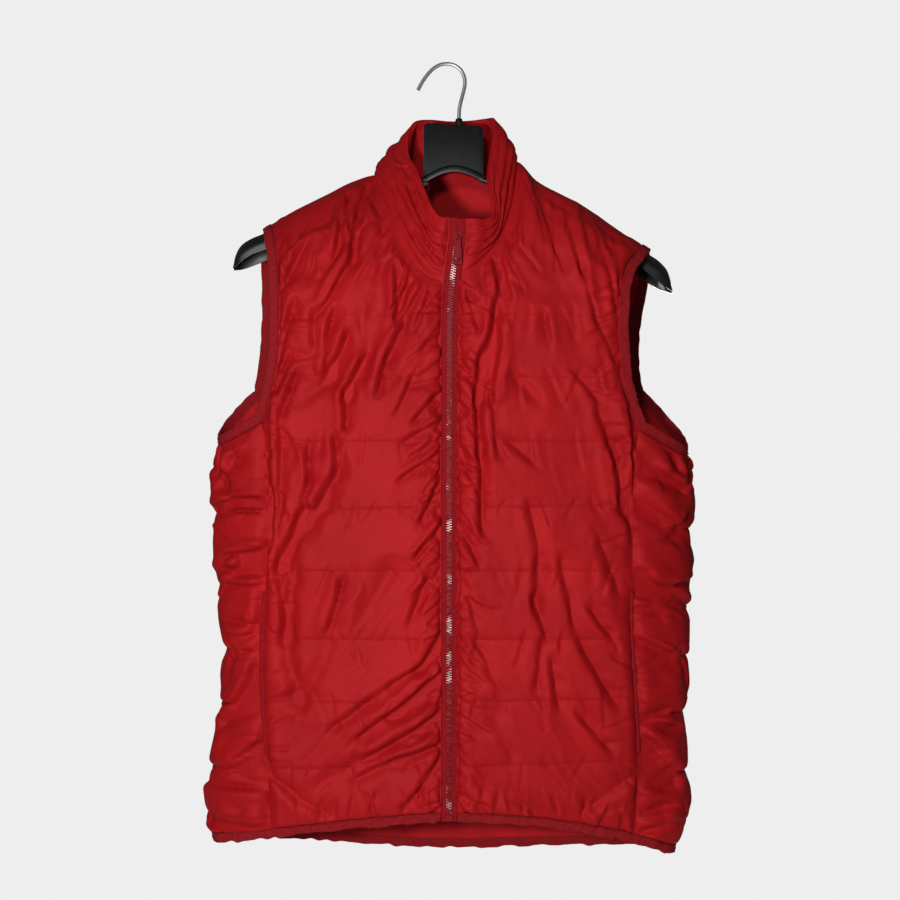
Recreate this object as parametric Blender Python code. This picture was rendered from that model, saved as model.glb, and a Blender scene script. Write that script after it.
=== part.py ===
"""A padded sleeveless jacket, zipped up and hanging on a moulded coat hanger.

Lengths are in millimetres until the meshes are made in metres. +X runs to the
right of someone who faces the jacket, -Y is its front and +Z is up. The origin
is the inside top of the hanger's hook, where a rail or a peg carries it.
"""

import math
from bisect import bisect_right
from collections import namedtuple

import bmesh
import bpy
from mathutils import Matrix, Vector

MM = 0.001

# Cloth
WALL = 2.5          # shell, wadding and lining where a seam flattens them
PUFF = 8.0          # how far a baffle's crown stands over its seams
SLIM = 1.7          # the least that a crease leaves of the wall
GAP = 0.3           # between two pieces at a seam
ROUND = 2.5         # exponent of the body's oval section: 2 is an ellipse
FLANGE = 4.0        # flat strip beside an upright seam
PUFF_RUN = 24.0     # distance from an upright seam to a baffle's full height
TOP_START = 3.0     # both for the seams of the collar and of the shoulders
TOP_RUN = 18.0
BAND = 10.0         # height of the elastic hem binding
BIND = 10.5         # width of the armhole binding
BAND_THICK = 3.6
HEM_LEVEL = -780.0  # where the seams are read to place the hem
HEM_END = 0.6       # from the hem binding's ends to the zip tapes
YOKE_Z = -256.5     # highest quilting seam that runs right across a front

Level = namedtuple("Level", "z left right front back")
BODY = [            # half widths to each side, depths before and behind the hanger
    Level(-163, 227, 237, 62, 45),
    Level(-220, 228, 239, 61, 48),
    Level(-256, 229, 240, 61, 50),
    Level(-384, 230, 242, 62, 52),
    Level(-460, 231, 243, 62, 53),
    Level(-528, 228, 240, 60, 52),
    Level(-595, 221, 239, 58, 51),
    Level(-651, 226, 236, 57, 50),
    Level(-715, 235, 238, 54, 49),
    Level(-752, 238, 238, 51, 48),
    Level(-801, 234, 228, 47, 46),
]

Seam = namedtuple("Seam", "z left right")
FRONT_SEAM = [      # distance from the middle to the seam of front and side
    Seam(-366, 184, 191),
    Seam(-430, 178, 186),
    Seam(-500, 179, 185),
    Seam(-565, 184, 184),
    Seam(-635, 184, 188),
    Seam(-700, 180, 191),
    Seam(-790, 174, 188),
]
BACK_SEAM = [
    Seam(-337, 190, 194),
    Seam(-430, 185, 190),
    Seam(-565, 186, 190),
    Seam(-700, 184, 192),
    Seam(-800, 180, 190),
]

Edge = namedtuple("Edge", "z x")
ARMHOLE = {         # edge of the panel beside the armhole, from the shoulder down
    ("front", "left"): [Edge(-164, 177), Edge(-195, 170), Edge(-228, 167), Edge(-271, 167),
                        Edge(-301, 168), Edge(-345, 177), Edge(-366, 184)],
    ("front", "right"): [Edge(-185, 197), Edge(-211, 178), Edge(-255, 171), Edge(-318, 174),
                         Edge(-354, 183), Edge(-372, 191)],
    ("back", "left"): [Edge(-164, 177), Edge(-195, 181), Edge(-232, 181), Edge(-270, 181.5),
                       Edge(-315, 186), Edge(-337, 190)],
    ("back", "right"): [Edge(-185, 197), Edge(-220, 197), Edge(-251, 191), Edge(-288, 188),
                        Edge(-319, 190), Edge(-337, 194)],
}
ARMPIT_DIP = {"left": -386, "right": -397}   # lowest point of the armhole, at the side

Height = namedtuple("Height", "x z")
SHOULDER = [        # ridge of the shoulders, from one armhole to the other
    Height(-177, -164), Height(-150, -147.5), Height(-117, -131), Height(-95, -120.5),
    Height(-72, -114), Height(69, -100), Height(89, -119), Height(116, -134.5),
    Height(144, -149.5), Height(175, -171), Height(197, -185),
]
HEM_FRONT = [       # lower edge of the hem binding
    Height(-236, -790), Height(-174, -781), Height(-80, -769), Height(-6, -763),
    Height(10, -763), Height(90, -768), Height(150, -778), Height(188, -787),
    Height(229, -801),
]
HEM_BACK = [
    Height(-236, -790), Height(-160, -795), Height(-80, -802), Height(0, -806),
    Height(80, -804), Height(188, -801), Height(229, -801),
]

Place = namedtuple("Place", "z x")
ZIP_LINE = [        # middle of the zip, which leans over in the collar
    Place(-162, 11.2), Place(-180, 10.5), Place(-205, 7.5), Place(-230, 4.5),
    Place(-260, 3.0), Place(-300, 2.4), Place(-765, 2.0),
]
ZIP_HALF = 8.0      # from the middle of the zip to a panel's edge
TAPE_THICK = 1.5

Stand = namedtuple("Stand", "station bx by bz tx ty tz")
COLLAR = [          # seam at the base and free edge at the top, left zip edge to right
    Stand(0, -3, -61, -223, 3, -62, -162),
    Stand(1, -16, -59, -219, -5, -60, -161),
    Stand(2, -32, -54, -201, -14, -51, -148),
    Stand(3, -49, -44, -172, -22, -37, -129),
    Stand(4, -60, -28, -143, -30, -20, -110),
    Stand(5, -72, 0, -114, -38, -3, -94),
    Stand(6, -67, 20, -111, -36, 13, -70),
    Stand(7, -50, 33, -111, -29, 24, -56),
    Stand(8, -26, 41, -112, -16, 31, -52),
    Stand(9, 0, 43, -113, 3, 33, -53),
    Stand(10, 26, 41, -112, 22, 32, -52.5),
    Stand(11, 50, 33, -109, 36, 27, -52),
    Stand(12, 64, 19, -104, 45, 15, -55),
    Stand(13, 69, 0, -100, 46, 0, -72),
    Stand(14, 67.5, -16, -121, 43, -13, -92),
    Stand(15, 63, -31, -148, 40, -29, -118),
    Stand(16, 55, -42, -172, 43, -42, -143),
    Stand(17, 45, -50.5, -190, 43, -52, -158),
    Stand(18, 33, -56, -203, 35, -57.5, -163),
    Stand(19, 23, -59.5, -211.5, 28, -61, -163),
    Stand(20, 14, -61, -217, 19, -62, -163),
]
COLLAR_STATIONS = [0, 0.35, 1, 2, 3, 4, 5, 6, 7, 8, 9, 10, 11, 12, 13, 14, 15, 16, 17, 18, 19,
                   19.6, 20]
COLLAR_ROWS = [0, 0.1, 0.28, 0.5, 0.72, 0.9, 1]
COLLAR_PUFF = 5.0
COLLAR_RIM = 5.0    # thickness of the rolled top edge
COLLAR_BULGE = 5.0  # how far the stand leans out between its base and its edge
LEFT_NECK = 5       # stations where the shoulder ridges meet the collar
RIGHT_NECK = 13

Quilt = namedtuple("Quilt", "z tilt depth")
FRONT_QUILT = [     # tilt is the rise for each millimetre to the right
    Quilt(-706, 0.022, 1), Quilt(-642, 0.010, 1), Quilt(-580, 0.0, 1), Quilt(-512, 0.0, 1),
    Quilt(-450, 0.013, 1), Quilt(-384, 0.0, 1), Quilt(-319.5, -0.01, 1),
    Quilt(YOKE_Z, 0.0, 0.8), Quilt(-197, 0.0, 0.45),
]
BACK_QUILT = [
    Quilt(-728, 0.0, 1), Quilt(-664, 0.0, 1), Quilt(-600, 0.0, 1), Quilt(-536, 0.0, 1),
    Quilt(-472, 0.0, 1), Quilt(-408, 0.0, 1), Quilt(-344, 0.0, 1), Quilt(YOKE_Z - 22, 0.0, 1),
    Quilt(-212, 0.0, 0.8), Quilt(-158, 0.0, 0.5),
]
SIDE_QUILT = {
    "left": [Quilt(-713, 0.0, 1), Quilt(-648, 0.0, 1), Quilt(-593, 0.0, 1),
             Quilt(-527, 0.0, 1), Quilt(-455, 0.0, 1)],
    "right": [Quilt(-717, 0.0, 1), Quilt(-657, 0.0, 1), Quilt(-600, 0.0, 1),
              Quilt(-549, 0.0, 1), Quilt(-471, 0.0, 1)],
}
EDGE_CLEAR = 14.0       # least height from a quilting seam to a panel's end
FULL_BAFFLE = 55.0      # distance between seams from which a baffle fills out
BAFFLE_ROWS = [0, 0.14, 0.5, 0.86]           # shares of a baffle's height
YOKE_ROWS = [0.13, 0.28, 0.43, 0.56, 0.68, 0.79, 0.88, 0.945, 0.985, 1]

NECK_REACH = 34.0       # how far along a shoulder the collar steepens its slope
RIDGE_CURVE = 0.5       # exponent of the slope over a shoulder: a round ridge
NECK_CURVE = 0.88       # the same where the slope meets the collar
NECK_LEAN = {           # how far the columns swing out below a steep neck edge
    ("front", "left"): 0.5, ("front", "right"): 1.4,
    ("back", "left"): 0.0, ("back", "right"): 0.0,
}

# Shares along a panel's width. A whole number is a corner of its upper edge.
NECK_SHARE = {"left": 0.45, "right": 0.4}    # of a front's width, at the yoke
BACK_NECK_SHARE = 0.33                       # of the back's width, at the yoke
SHOULDER_COLUMNS = [0, 0.04, 0.14, 0.32, 0.54, 0.77]
SIDE_COLUMNS = [0, 0.018, 0.12, 0.24, 0.35, 0.43, 0.5, 0.57, 0.65, 0.76, 0.88, 0.982, 1]

Fold = namedtuple("Fold", "x0 z0 x1 z1 width height")
FRONT_FOLDS = [     # creases below zero and ridges above, over the front
    Fold(-96, -204, -123, -249, 11, -4.5), Fold(-91, -188, -132, -217, 13, -4),
    Fold(-139, -185, -159, -224, 10, -3.5), Fold(-84, -145, -96, -204, 10, -3),
    Fold(-98, -284, -117, -318, 11, -5), Fold(-84, -307, -101, -345, 10, -3.5),
    Fold(-42, -271, -66, -328, 9, -3.5), Fold(-137, -399, -136, -436, 9, -3.5),
    Fold(-107, -395, -122, -445, 10, -4), Fold(-135, -440, -170, -515, 16, -6.5),
    Fold(-171, -343, -171, -496, 8, 3.5), Fold(-103, -530, -113, -563, 10, -3.5),
    Fold(-7, -574, -49, -653, 12, -4.5), Fold(-6, -644, -75, -692, 11, -4),
    Fold(-6, -676, -67, -712, 10, -4), Fold(-74, -643, -108, -668, 10, -3),
    Fold(-172, -719, -123, -754, 12, -4.5),
    Fold(50, -215, 50, -262, 10, -4.5), Fold(50, -262, 31, -330, 10, -4.5),
    Fold(31, -330, 32, -455, 9, -4), Fold(42, -270, 45, -450, 12, 2.5),
    Fold(121, -170, 147, -259, 11, -4), Fold(147, -259, 166, -302, 11, -4),
    Fold(129, -156, 149, -250, 9, 3), Fold(150, -352, 166, -400, 13, -4.5),
    Fold(166, -400, 180, -470, 12, -4.5), Fold(82, -452, 90, -506, 11, -4),
    Fold(88, -506, 93, -571, 12, -4), Fold(114, -506, 123, -563, 10, -3.5),
    Fold(92, -588, 91, -625, 10, -3.5), Fold(133, -586, 162, -639, 12, -4),
    Fold(133, -662, 157, -690, 11, -3.5), Fold(39, -724, 85, -750, 12, -4),
    Fold(180, -723, 123, -760, 13, -4.5),
]
BACK_FOLDS = [
    Fold(-84, -150, -120, -230, 12, -4), Fold(-150, -190, -165, -250, 11, -4),
    Fold(90, -150, 128, -236, 12, -4), Fold(150, -205, 170, -270, 11, -4),
    Fold(-30, -150, -42, -215, 11, -3), Fold(38, -150, 30, -222, 11, -3),
    Fold(-165, -360, -120, -430, 14, -5), Fold(168, -365, 118, -440, 14, -5),
    Fold(-70, -420, -52, -500, 12, -4), Fold(20, -380, 34, -455, 12, -4),
    Fold(92, -470, 78, -560, 12, -4), Fold(-140, -500, -110, -590, 13, -4.5),
    Fold(-20, -560, -44, -640, 12, -4), Fold(140, -560, 110, -640, 13, -4.5),
    Fold(-120, -660, -90, -720, 12, -4), Fold(48, -640, 66, -710, 12, -4),
    Fold(-172, -740, -120, -780, 13, -4.5), Fold(172, -745, 126, -785, 13, -4.5),
    Fold(-16, -720, 8, -780, 12, -3.5),
]
SIDE_FOLDS = {      # x0 and x1 are depths here, below zero in front of the hanger
    "left": [Fold(-36, -410, -8, -440, 9, -3.5), Fold(-6, -596, -24, -640, 10, -4),
             Fold(-30, -670, -10, -705, 10, -3.5), Fold(6, -420, 28, -450, 10, -4),
             Fold(26, -560, 6, -590, 10, -3.5), Fold(0, -730, 16, -775, 10, -3.5)],
    "right": [Fold(-38, -400, -10, -430, 10, -4), Fold(-30, -655, -8, -709, 10, -4),
              Fold(4, -500, 26, -540, 10, -4), Fold(-20, -560, -34, -590, 9, -3),
              Fold(26, -610, 6, -650, 10, -3.5), Fold(4, -735, 18, -780, 10, -3.5)],
}
COLLAR_FOLDS = [    # stations and shares of the height in place of x and z
    Fold(1.4, 0.1, 1.0, 0.9, 0.22, -2.0), Fold(3.0, 0.05, 2.2, 0.8, 0.3, -2.5),
    Fold(4.1, 0.1, 3.8, 0.9, 0.25, -2.0), Fold(6.0, 0.1, 6.2, 0.8, 0.3, -2.0),
    Fold(8.4, 0.1, 8.6, 0.9, 0.3, -1.8), Fold(11, 0.1, 10.6, 0.9, 0.3, -2.0),
    Fold(14.0, 0.1, 14.4, 0.9, 0.3, -2.2), Fold(15.6, 0.0, 15.9, 0.9, 0.25, -2.2),
    Fold(17.4, 0.1, 17.0, 0.8, 0.25, -2.0), Fold(19.0, 0.1, 18.7, 0.9, 0.2, -1.6),
]
PUCKER_PITCH = 31.0     # puckers beside the zip and gathers above the hem
PUCKER_HEIGHT = 1.6
PUCKER_REACH = 26.0
GATHER_REACH = 30.0

# Hanger
ARM_DROP = 0.6      # below the inside of the shoulder ridge
ARM_NECK_DROP = 4.0     # more than that beside the neck, where the ridge is sharper
ARM_ROOF = 0.47     # slope of the arm's roof on each side of its ridge
ARM_WALL = 2.4

Arm = namedtuple("Arm", "x ridge front rear half")
ARM_ROOT = {        # where an arm leaves the middle plate: ridge and two lips
    "left": Arm(-20, -113, -123, -125, 8),
    "right": Arm(33, -113, -123, -125, 8),
}
ARM_AT_SHOULDER = Arm(0, 0, -21.5, -28, 14)     # lips below the ridge at the armhole
ARM_TIP = {         # the drooping end past the armhole
    "left": [Arm(-187, -171.4, -190, -198.5, 14), Arm(-197, -175.5, -193.5, -202.5, 14),
             Arm(-206, -180.5, -199, -206, 13.5), Arm(-212, -186.5, -203.5, -207.5, 12.5),
             Arm(-216, -195.5, -206.5, -208, 10), Arm(-217.5, -203, -207.5, -208.5, 7)],
    "right": [Arm(207, -193.4, -215.5, -221.5, 14), Arm(214, -198, -220.5, -225.5, 14),
              Arm(220, -203.5, -225.5, -228.5, 13.5), Arm(224.5, -209.5, -228.5, -230, 12.5),
              Arm(227.5, -218, -230, -231, 10), Arm(229, -225.5, -230.5, -231.5, 7)],
}
PLATE_LEFT = -24.0
PLATE_RIGHT = 37.0
PLATE_TOP_LEFT = -59.0
PLATE_TOP_RIGHT = -62.5
PLATE_HALF = 5.0
PLATE_RADIUS = 4.0
ARCH_END_LEFT = -121.0
ARCH_END_RIGHT = -119.0
ARCH_RISE = 11.0
RIM = 7.0           # height of the rim that follows the arch
RIM_HALF = 7.5
BOSS_RADIUS = 4.2
BOSS_TOP = -54.0
HOOK_RADIUS = 1.9
HOOK_SIDES = 8

Bend = namedtuple("Bend", "x z")
HOOK = [            # middle of the wire, from its free end to the boss
    Bend(-29.6, -25), Bend(-25.6, -17.4), Bend(-20.4, -9.8), Bend(-13.8, -2.9),
    Bend(-7, 0.9), Bend(0, HOOK_RADIUS), Bend(7.6, 0.4), Bend(14.2, -4.6), Bend(17.8, -12.2),
    Bend(18.2, -19.5), Bend(16.6, -27.5), Bend(14.3, -36.2), Bend(12.6, -44.6),
    Bend(12.2, -53.4),
]

# Zip slider and its pull tab
SLIDER_Z = -181.0
SLIDER_WIDTH = 9.0
SLIDER_HEIGHT = 10.0
SLIDER_THICK = 2.2
BRIDGE_INNER = 1.25
BRIDGE_OUTER = 2.45
BRIDGE_WIDTH = 2.0
PIN_RADIUS = 0.7        # bar of the tab that turns under the bridge
PIN_LIFT = 1.0          # from the slider's face to the middle of that bar
TAB_LENGTH = 27.0
TAB_TOP_WIDTH = 6.6
TAB_END_WIDTH = 9.8
TAB_THICK = 1.3
TAB_EYE_WIDTH = 3.0
TAB_EYE_LENGTH = 3.2
TAB_SLOT_WIDTH = 6.2
TAB_SLOT_HEIGHT = 3.0

# Zips of the side pockets, over the seams of front and side
POCKET_TOP = -533.0
POCKET_FOOT = -695.0
POCKET_WIDTH = 5.0
POCKET_THICK = 1.4


def read(table, column, at):
    """Smooth value of a named column where the table's first column is at."""
    rows = table if table[0][0] < table[-1][0] else table[::-1]
    keys = [row[0] for row in rows]
    values = [getattr(row, column) for row in rows]
    if at <= keys[0]:
        return values[0]
    if at >= keys[-1]:
        return values[-1]
    low = bisect_right(keys, at) - 1
    span = keys[low + 1] - keys[low]
    share = (at - keys[low]) / span

    def slope(row):
        first = max(row - 1, 0)
        last = min(row + 1, len(keys) - 1)
        return (values[last] - values[first]) / (keys[last] - keys[first]) * span

    rest = 1 - share
    return (values[low] * (1 + 2 * share) * rest ** 2 + slope(low) * share * rest ** 2
            + values[low + 1] * (3 - 2 * share) * share ** 2
            - slope(low + 1) * rest * share ** 2)


def mix(first, last, share):
    return first + (last - first) * share


def sign_of(side):
    return -1 if side == "left" else 1


def side_of(x):
    return "left" if x < 0 else "right"


# ---------------------------------------------------------------- the body's form

def oval_sum(x, y, z):
    width = read(BODY, side_of(x), z)
    depth = read(BODY, "front" if y < 0 else "back", z)
    return (abs(x) / width) ** ROUND + (abs(y) / depth) ** ROUND


def oval_normal(point):
    """Outward direction of the body's oval at a point on it."""
    step = 0.05
    x, y, z = point
    return Vector((
        oval_sum(x + step, y, z) - oval_sum(x - step, y, z),
        oval_sum(x, y + step, z) - oval_sum(x, y - step, z),
        oval_sum(x, y, z + step) - oval_sum(x, y, z - step),
    )).normalized()


def face_point(face, x, z):
    """Point of the plain inside of a front or the back."""
    share = min(abs(x) / read(BODY, side_of(x), z), 1)
    depth = read(BODY, face, z) * (1 - share ** ROUND) ** (1 / ROUND)
    return Vector((x, -depth if face == "front" else depth, z))


def side_point(side, share, z):
    """Point of a side panel, from its front seam at 0 to its back seam at 1."""
    width = read(BODY, side, z)
    angles = [
        math.acos((read(seam, side, z) / width) ** (ROUND / 2))
        for seam in (FRONT_SEAM, BACK_SEAM)
    ]
    angle = mix(-angles[0], angles[1], share)
    depth = read(BODY, "front" if angle < 0 else "back", z)
    across = width * math.cos(angle) ** (2 / ROUND)
    along = math.copysign(depth * abs(math.sin(angle)) ** (2 / ROUND), angle)
    return Vector((sign_of(side) * across, along, z))


def hem_height(x, y):
    return read(HEM_FRONT if y < 0 else HEM_BACK, "z", x)


def zip_x(z):
    return read(ZIP_LINE, "x", z)


def edge_x(face, side, z):
    """Outer edge of a front or the back: its side seam, then its armhole."""
    armhole = ARMHOLE[face, side]
    if z > armhole[-1].z:
        distance = read(armhole, "x", z)
    else:
        distance = read(FRONT_SEAM if face == "front" else BACK_SEAM, side, z)
    return sign_of(side) * distance


def stand_base(station):
    if station in (0, 20):
        z = read(COLLAR, "bz", station)
        edge = -ZIP_HALF if station == 0 else ZIP_HALF
        return Vector((zip_x(z) + edge, read(COLLAR, "by", station), z))
    return Vector([read(COLLAR, column, station) for column in ("bx", "by", "bz")])


def stand_top(station):
    if station in (0, 20):
        z = read(COLLAR, "tz", station)
        edge = -ZIP_HALF if station == 0 else ZIP_HALF
        return Vector((zip_x(z) + edge, read(COLLAR, "ty", station), z))
    return Vector([read(COLLAR, column, station) for column in ("tx", "ty", "tz")])


def neck_corner(side):
    """Where the ridge of a shoulder meets the collar."""
    return stand_base(LEFT_NECK if side == "left" else RIGHT_NECK)


def neck_normal(base):
    """Shared direction of the walls at the collar's seam: level in front, up at the sides."""
    reach = abs(base.x) / 70
    return Vector((base.x / 70, base.y / 55, 0.1 + 0.75 * reach ** 2)).normalized()


# ---------------------------------------------------------------- quilting and folds

def crown(share):
    return max(math.sin(math.pi * share), 0) ** 0.55


def baffle(z, x, seams, foot, head):
    """Height of the quilting at a place, as a share of a full baffle."""
    marks = [(foot, 1.0)]
    marks += [(seam.z + seam.tilt * x, seam.depth) for seam in seams
              if foot + EDGE_CLEAR < seam.z + seam.tilt * x < head - EDGE_CLEAR]
    marks.append((head, 1.0))
    for (low, low_depth), (high, high_depth) in zip(marks, marks[1:]):
        if z <= high + 0.001:
            share = min(max((z - low) / (high - low), 0), 1)
            fullness = min((high - low) / FULL_BAFFLE, 1) ** 0.6
            return fullness * (1 - mix(low_depth, high_depth, share) * (1 - crown(share)))
    return 0.0


def rise(distance, start=FLANGE, run=PUFF_RUN):
    """0 beside an upright seam and 1 from a baffle's full height on."""
    share = min(max((distance - start) / run, 0), 1)
    return math.sin(share * math.pi / 2) ** 0.7


def bell(distance, width):
    return math.exp(-(distance / width) ** 2)


def crease(x, z, folds):
    """Sum of the folds at a place, each fading out over its ends."""
    total = 0.0
    for fold in folds:
        run_x, run_z = fold.x1 - fold.x0, fold.z1 - fold.z0
        length = math.hypot(run_x, run_z)
        along = ((x - fold.x0) * run_x + (z - fold.z0) * run_z) / length
        across = ((x - fold.x0) * run_z - (z - fold.z0) * run_x) / length
        over = max(-along, along - length, 0)
        total += fold.height * bell(across, fold.width) * bell(over, fold.width)
    return total


def outer_height(puff, folds, puckers=0.0):
    return max(WALL + PUFF * puff + (folds + puckers) * min(puff * 1.6, 1), SLIM)


# ---------------------------------------------------------------- grids of the panels

class Grid:
    """Rows of points from the hem up, with the wall's direction at each."""

    def __init__(self, points, normals, heights):
        self.points = points
        self.normals = normals
        self.heights = heights

    def pulled_in(self, distance):
        """Points with each border moved by the distance into the panel."""
        rows, columns = len(self.points), len(self.points[0])
        moved = [[point.copy() for point in row] for row in self.points]

        def pull(row, column, next_row, next_column):
            here = self.points[row][column]
            inward = self.points[next_row][next_column] - here
            if next_row == row:
                low, high = max(row - 1, 0), min(row + 1, rows - 1)
                along = self.points[high][column] - self.points[low][column]
            else:
                low, high = max(column - 1, 0), min(column + 1, columns - 1)
                along = self.points[row][high] - self.points[row][low]
            inward -= inward.project(along)
            moved[row][column] += inward.normalized() * distance

        for row in range(rows):
            pull(row, 0, row, 1)
            pull(row, columns - 1, row, columns - 2)
        for column in range(columns):
            pull(0, column, 1, column)
            pull(rows - 1, column, rows - 2, column)
        return moved


def grid_normals(points, outward_y):
    """Directions square to a grid, turned to the side that outward_y points to."""
    rows, columns = len(points), len(points[0])
    normals = []
    for row in range(rows):
        low, high = max(row - 1, 0), min(row + 1, rows - 1)
        line = []
        for column in range(columns):
            left, right = max(column - 1, 0), min(column + 1, columns - 1)
            across = points[row][right] - points[row][left]
            up = points[high][column] - points[low][column]
            normal = across.cross(up).normalized()
            line.append(normal if normal.y * outward_y > 0 else -normal)
        normals.append(line)
    return normals


def roundness(face, end):
    """Exponent of the slope from the yoke up to a point of the upper edge."""
    if end.y == 0 and face == "back":
        return RIDGE_CURVE
    if end.y == 0:
        nearness = bell(end.x - neck_corner(side_of(end.x)).x, NECK_REACH)
        return mix(RIDGE_CURVE, NECK_CURVE, nearness)
    if face == "front":
        return NECK_CURVE
    return mix(RIDGE_CURVE, 1, min(abs(end.y) / 25, 1))


def neck_lean(face, end):
    """Exponent that lets the columns reach a steep neck edge from its outer side."""
    side = side_of(end.x)
    nearness = bell(end.x - neck_corner(side).x, NECK_REACH)
    return 1 + NECK_LEAN[face, side] * nearness


def body_rows(seams, x, foot, top, extra):
    """Heights of the rows up to top: the hem, each baffle's shares and extra rows."""
    levels = [foot]
    levels += [seam.z + seam.tilt * x for seam in seams if seam.z < top - EDGE_CLEAR]
    levels.append(top)
    heights = [mix(low, high, share) for low, high in zip(levels, levels[1:])
               for share in BAFFLE_ROWS]
    for height in extra:
        nearest = min(range(1, len(heights)), key=lambda row: abs(heights[row] - height))
        heights[nearest] = height
    return heights + [top]


def panel_grid(face, columns, share_of, upper_edge, left_edge, right_edge, seams):
    """Grid of a front or of the back, with its shoulders closed over the hanger."""
    corners = [ARMHOLE[face, side][-1].z for side in ("left", "right")]
    points = []
    for column in columns:
        share = share_of(column)
        x = mix(left_edge(HEM_LEVEL), right_edge(HEM_LEVEL), share)
        foot = hem_height(x, -1 if face == "front" else 1) + BAND
        corner = corners[0] if x < 0 else corners[1]
        line = []
        for z in body_rows(seams, x, foot, YOKE_Z, [corner]):
            line.append(face_point(face, mix(left_edge(z), right_edge(z), share), z))
        start, end = line[-1], upper_edge(column)
        curve = roundness(face, end)
        lean = neck_lean(face, end)
        for part in YOKE_ROWS:
            z = mix(start.z, end.z, part)
            x = mix(start.x, end.x, part ** lean)
            for edge, weight, tip in ((left_edge, 1 - share, columns[0]),
                                      (right_edge, share, columns[-1])):
                tip_point = upper_edge(tip)
                edge_z = mix(YOKE_Z, tip_point.z, part)
                straight = mix(edge(YOKE_Z), tip_point.x, part)
                x += weight * (edge(edge_z) - straight)
            y = end.y + (start.y - end.y) * (1 - part ** 2) ** curve
            line.append(Vector((x, y, z)))
        points.append(line)
    return [list(row) for row in zip(*points)]


def panel_heights(rows, folds, seams, zipped):
    """How far the outer face stands over the inside at each point of a panel."""
    heights = []
    for row in rows:
        line = []
        for column, point in enumerate(row):
            foot, head = rows[0][column].z, rows[-1][column].z
            puff = baffle(point.z, point.x, seams, foot, head)
            puff *= rise((point - row[0]).length) * rise((point - row[-1]).length)
            to_top = min((point - other).length for other in rows[-1])
            puff *= rise(to_top, TOP_START, TOP_RUN)
            to_zip = (point - row[-1]).length if zipped else math.inf
            pucker = PUCKER_HEIGHT * math.sin(2 * math.pi * point.z / PUCKER_PITCH)
            pucker *= bell(to_zip, PUCKER_REACH)
            gather = PUCKER_HEIGHT * math.sin(2 * math.pi * point.x / PUCKER_PITCH)
            gather *= bell(point.z - foot, GATHER_REACH)
            line.append(outer_height(puff, crease(point.x, point.z, folds), pucker + gather))
        heights.append(line)
    return heights


def set_top_normals(rows, normals, stations):
    """Shoulder seams point straight up, and the collar's seam has the shared direction."""
    top = len(rows) - 1
    for column, station in enumerate(stations):
        if station is None:
            normals[top][column].y = 0
            normals[top][column].normalize()
            continue
        shared = neck_normal(stand_base(station))
        for row in range(top - len(YOKE_ROWS), top + 1):
            to_seam = min((rows[row][column] - point).length for point in rows[top])
            share = min(to_seam / TOP_RUN, 1)
            normals[row][column] = mix(shared, normals[row][column], share).normalized()


def set_body_normals(rows, normals):
    """Below the yoke the directions come from the oval, as on the side panels."""
    for row, line in enumerate(rows):
        for column, point in enumerate(line):
            if point.z < YOKE_Z + 0.01 and row < len(rows) - 1:
                normals[row][column] = oval_normal(point)


def neck_columns(first, last):
    """Stations of the collar from one to another, in that order."""
    low, high = min(first, last), max(first, last)
    inside = [station for station in COLLAR_STATIONS if low < station < high]
    return [first] + (inside if first < last else inside[::-1]) + [last]


def shoulder_point(x_tip, x_neck, share):
    x = mix(x_tip, x_neck, share)
    return Vector((x, 0, read(SHOULDER, "z", x)))


def front_grid(side):
    """A front, from its armhole at column 0 through the neck at 1 to the zip at 2."""
    armhole = ARMHOLE["front", side]
    neck_station, zip_station = (LEFT_NECK, 0) if side == "left" else (RIGHT_NECK, 20)
    stations = neck_columns(neck_station, zip_station)
    tip_x = sign_of(side) * armhole[0].x
    neck_x = stand_base(neck_station).x
    run = zip_station - neck_station

    def upper_edge(column):
        if column <= 1:
            return shoulder_point(tip_x, neck_x, column)
        return stand_base(neck_station + (column - 1) * run)

    def outer_edge(z):
        return edge_x("front", side, z)

    def zip_edge(z):
        return zip_x(z) + sign_of(side) * ZIP_HALF

    def share_of(column):
        neck = NECK_SHARE[side]
        return column * neck if column <= 1 else neck + (column - 1) * (1 - neck)

    columns = SHOULDER_COLUMNS + [1 + (station - neck_station) / run for station in stations]
    rows = panel_grid("front", columns, share_of, upper_edge, outer_edge, zip_edge,
                      FRONT_QUILT)
    normals = grid_normals(rows, -1)
    set_body_normals(rows, normals)
    set_top_normals(rows, normals, [None] * len(SHOULDER_COLUMNS) + stations)
    heights = panel_heights(rows, FRONT_FOLDS, FRONT_QUILT, zipped=True)
    return Grid(rows, normals, heights)


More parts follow.
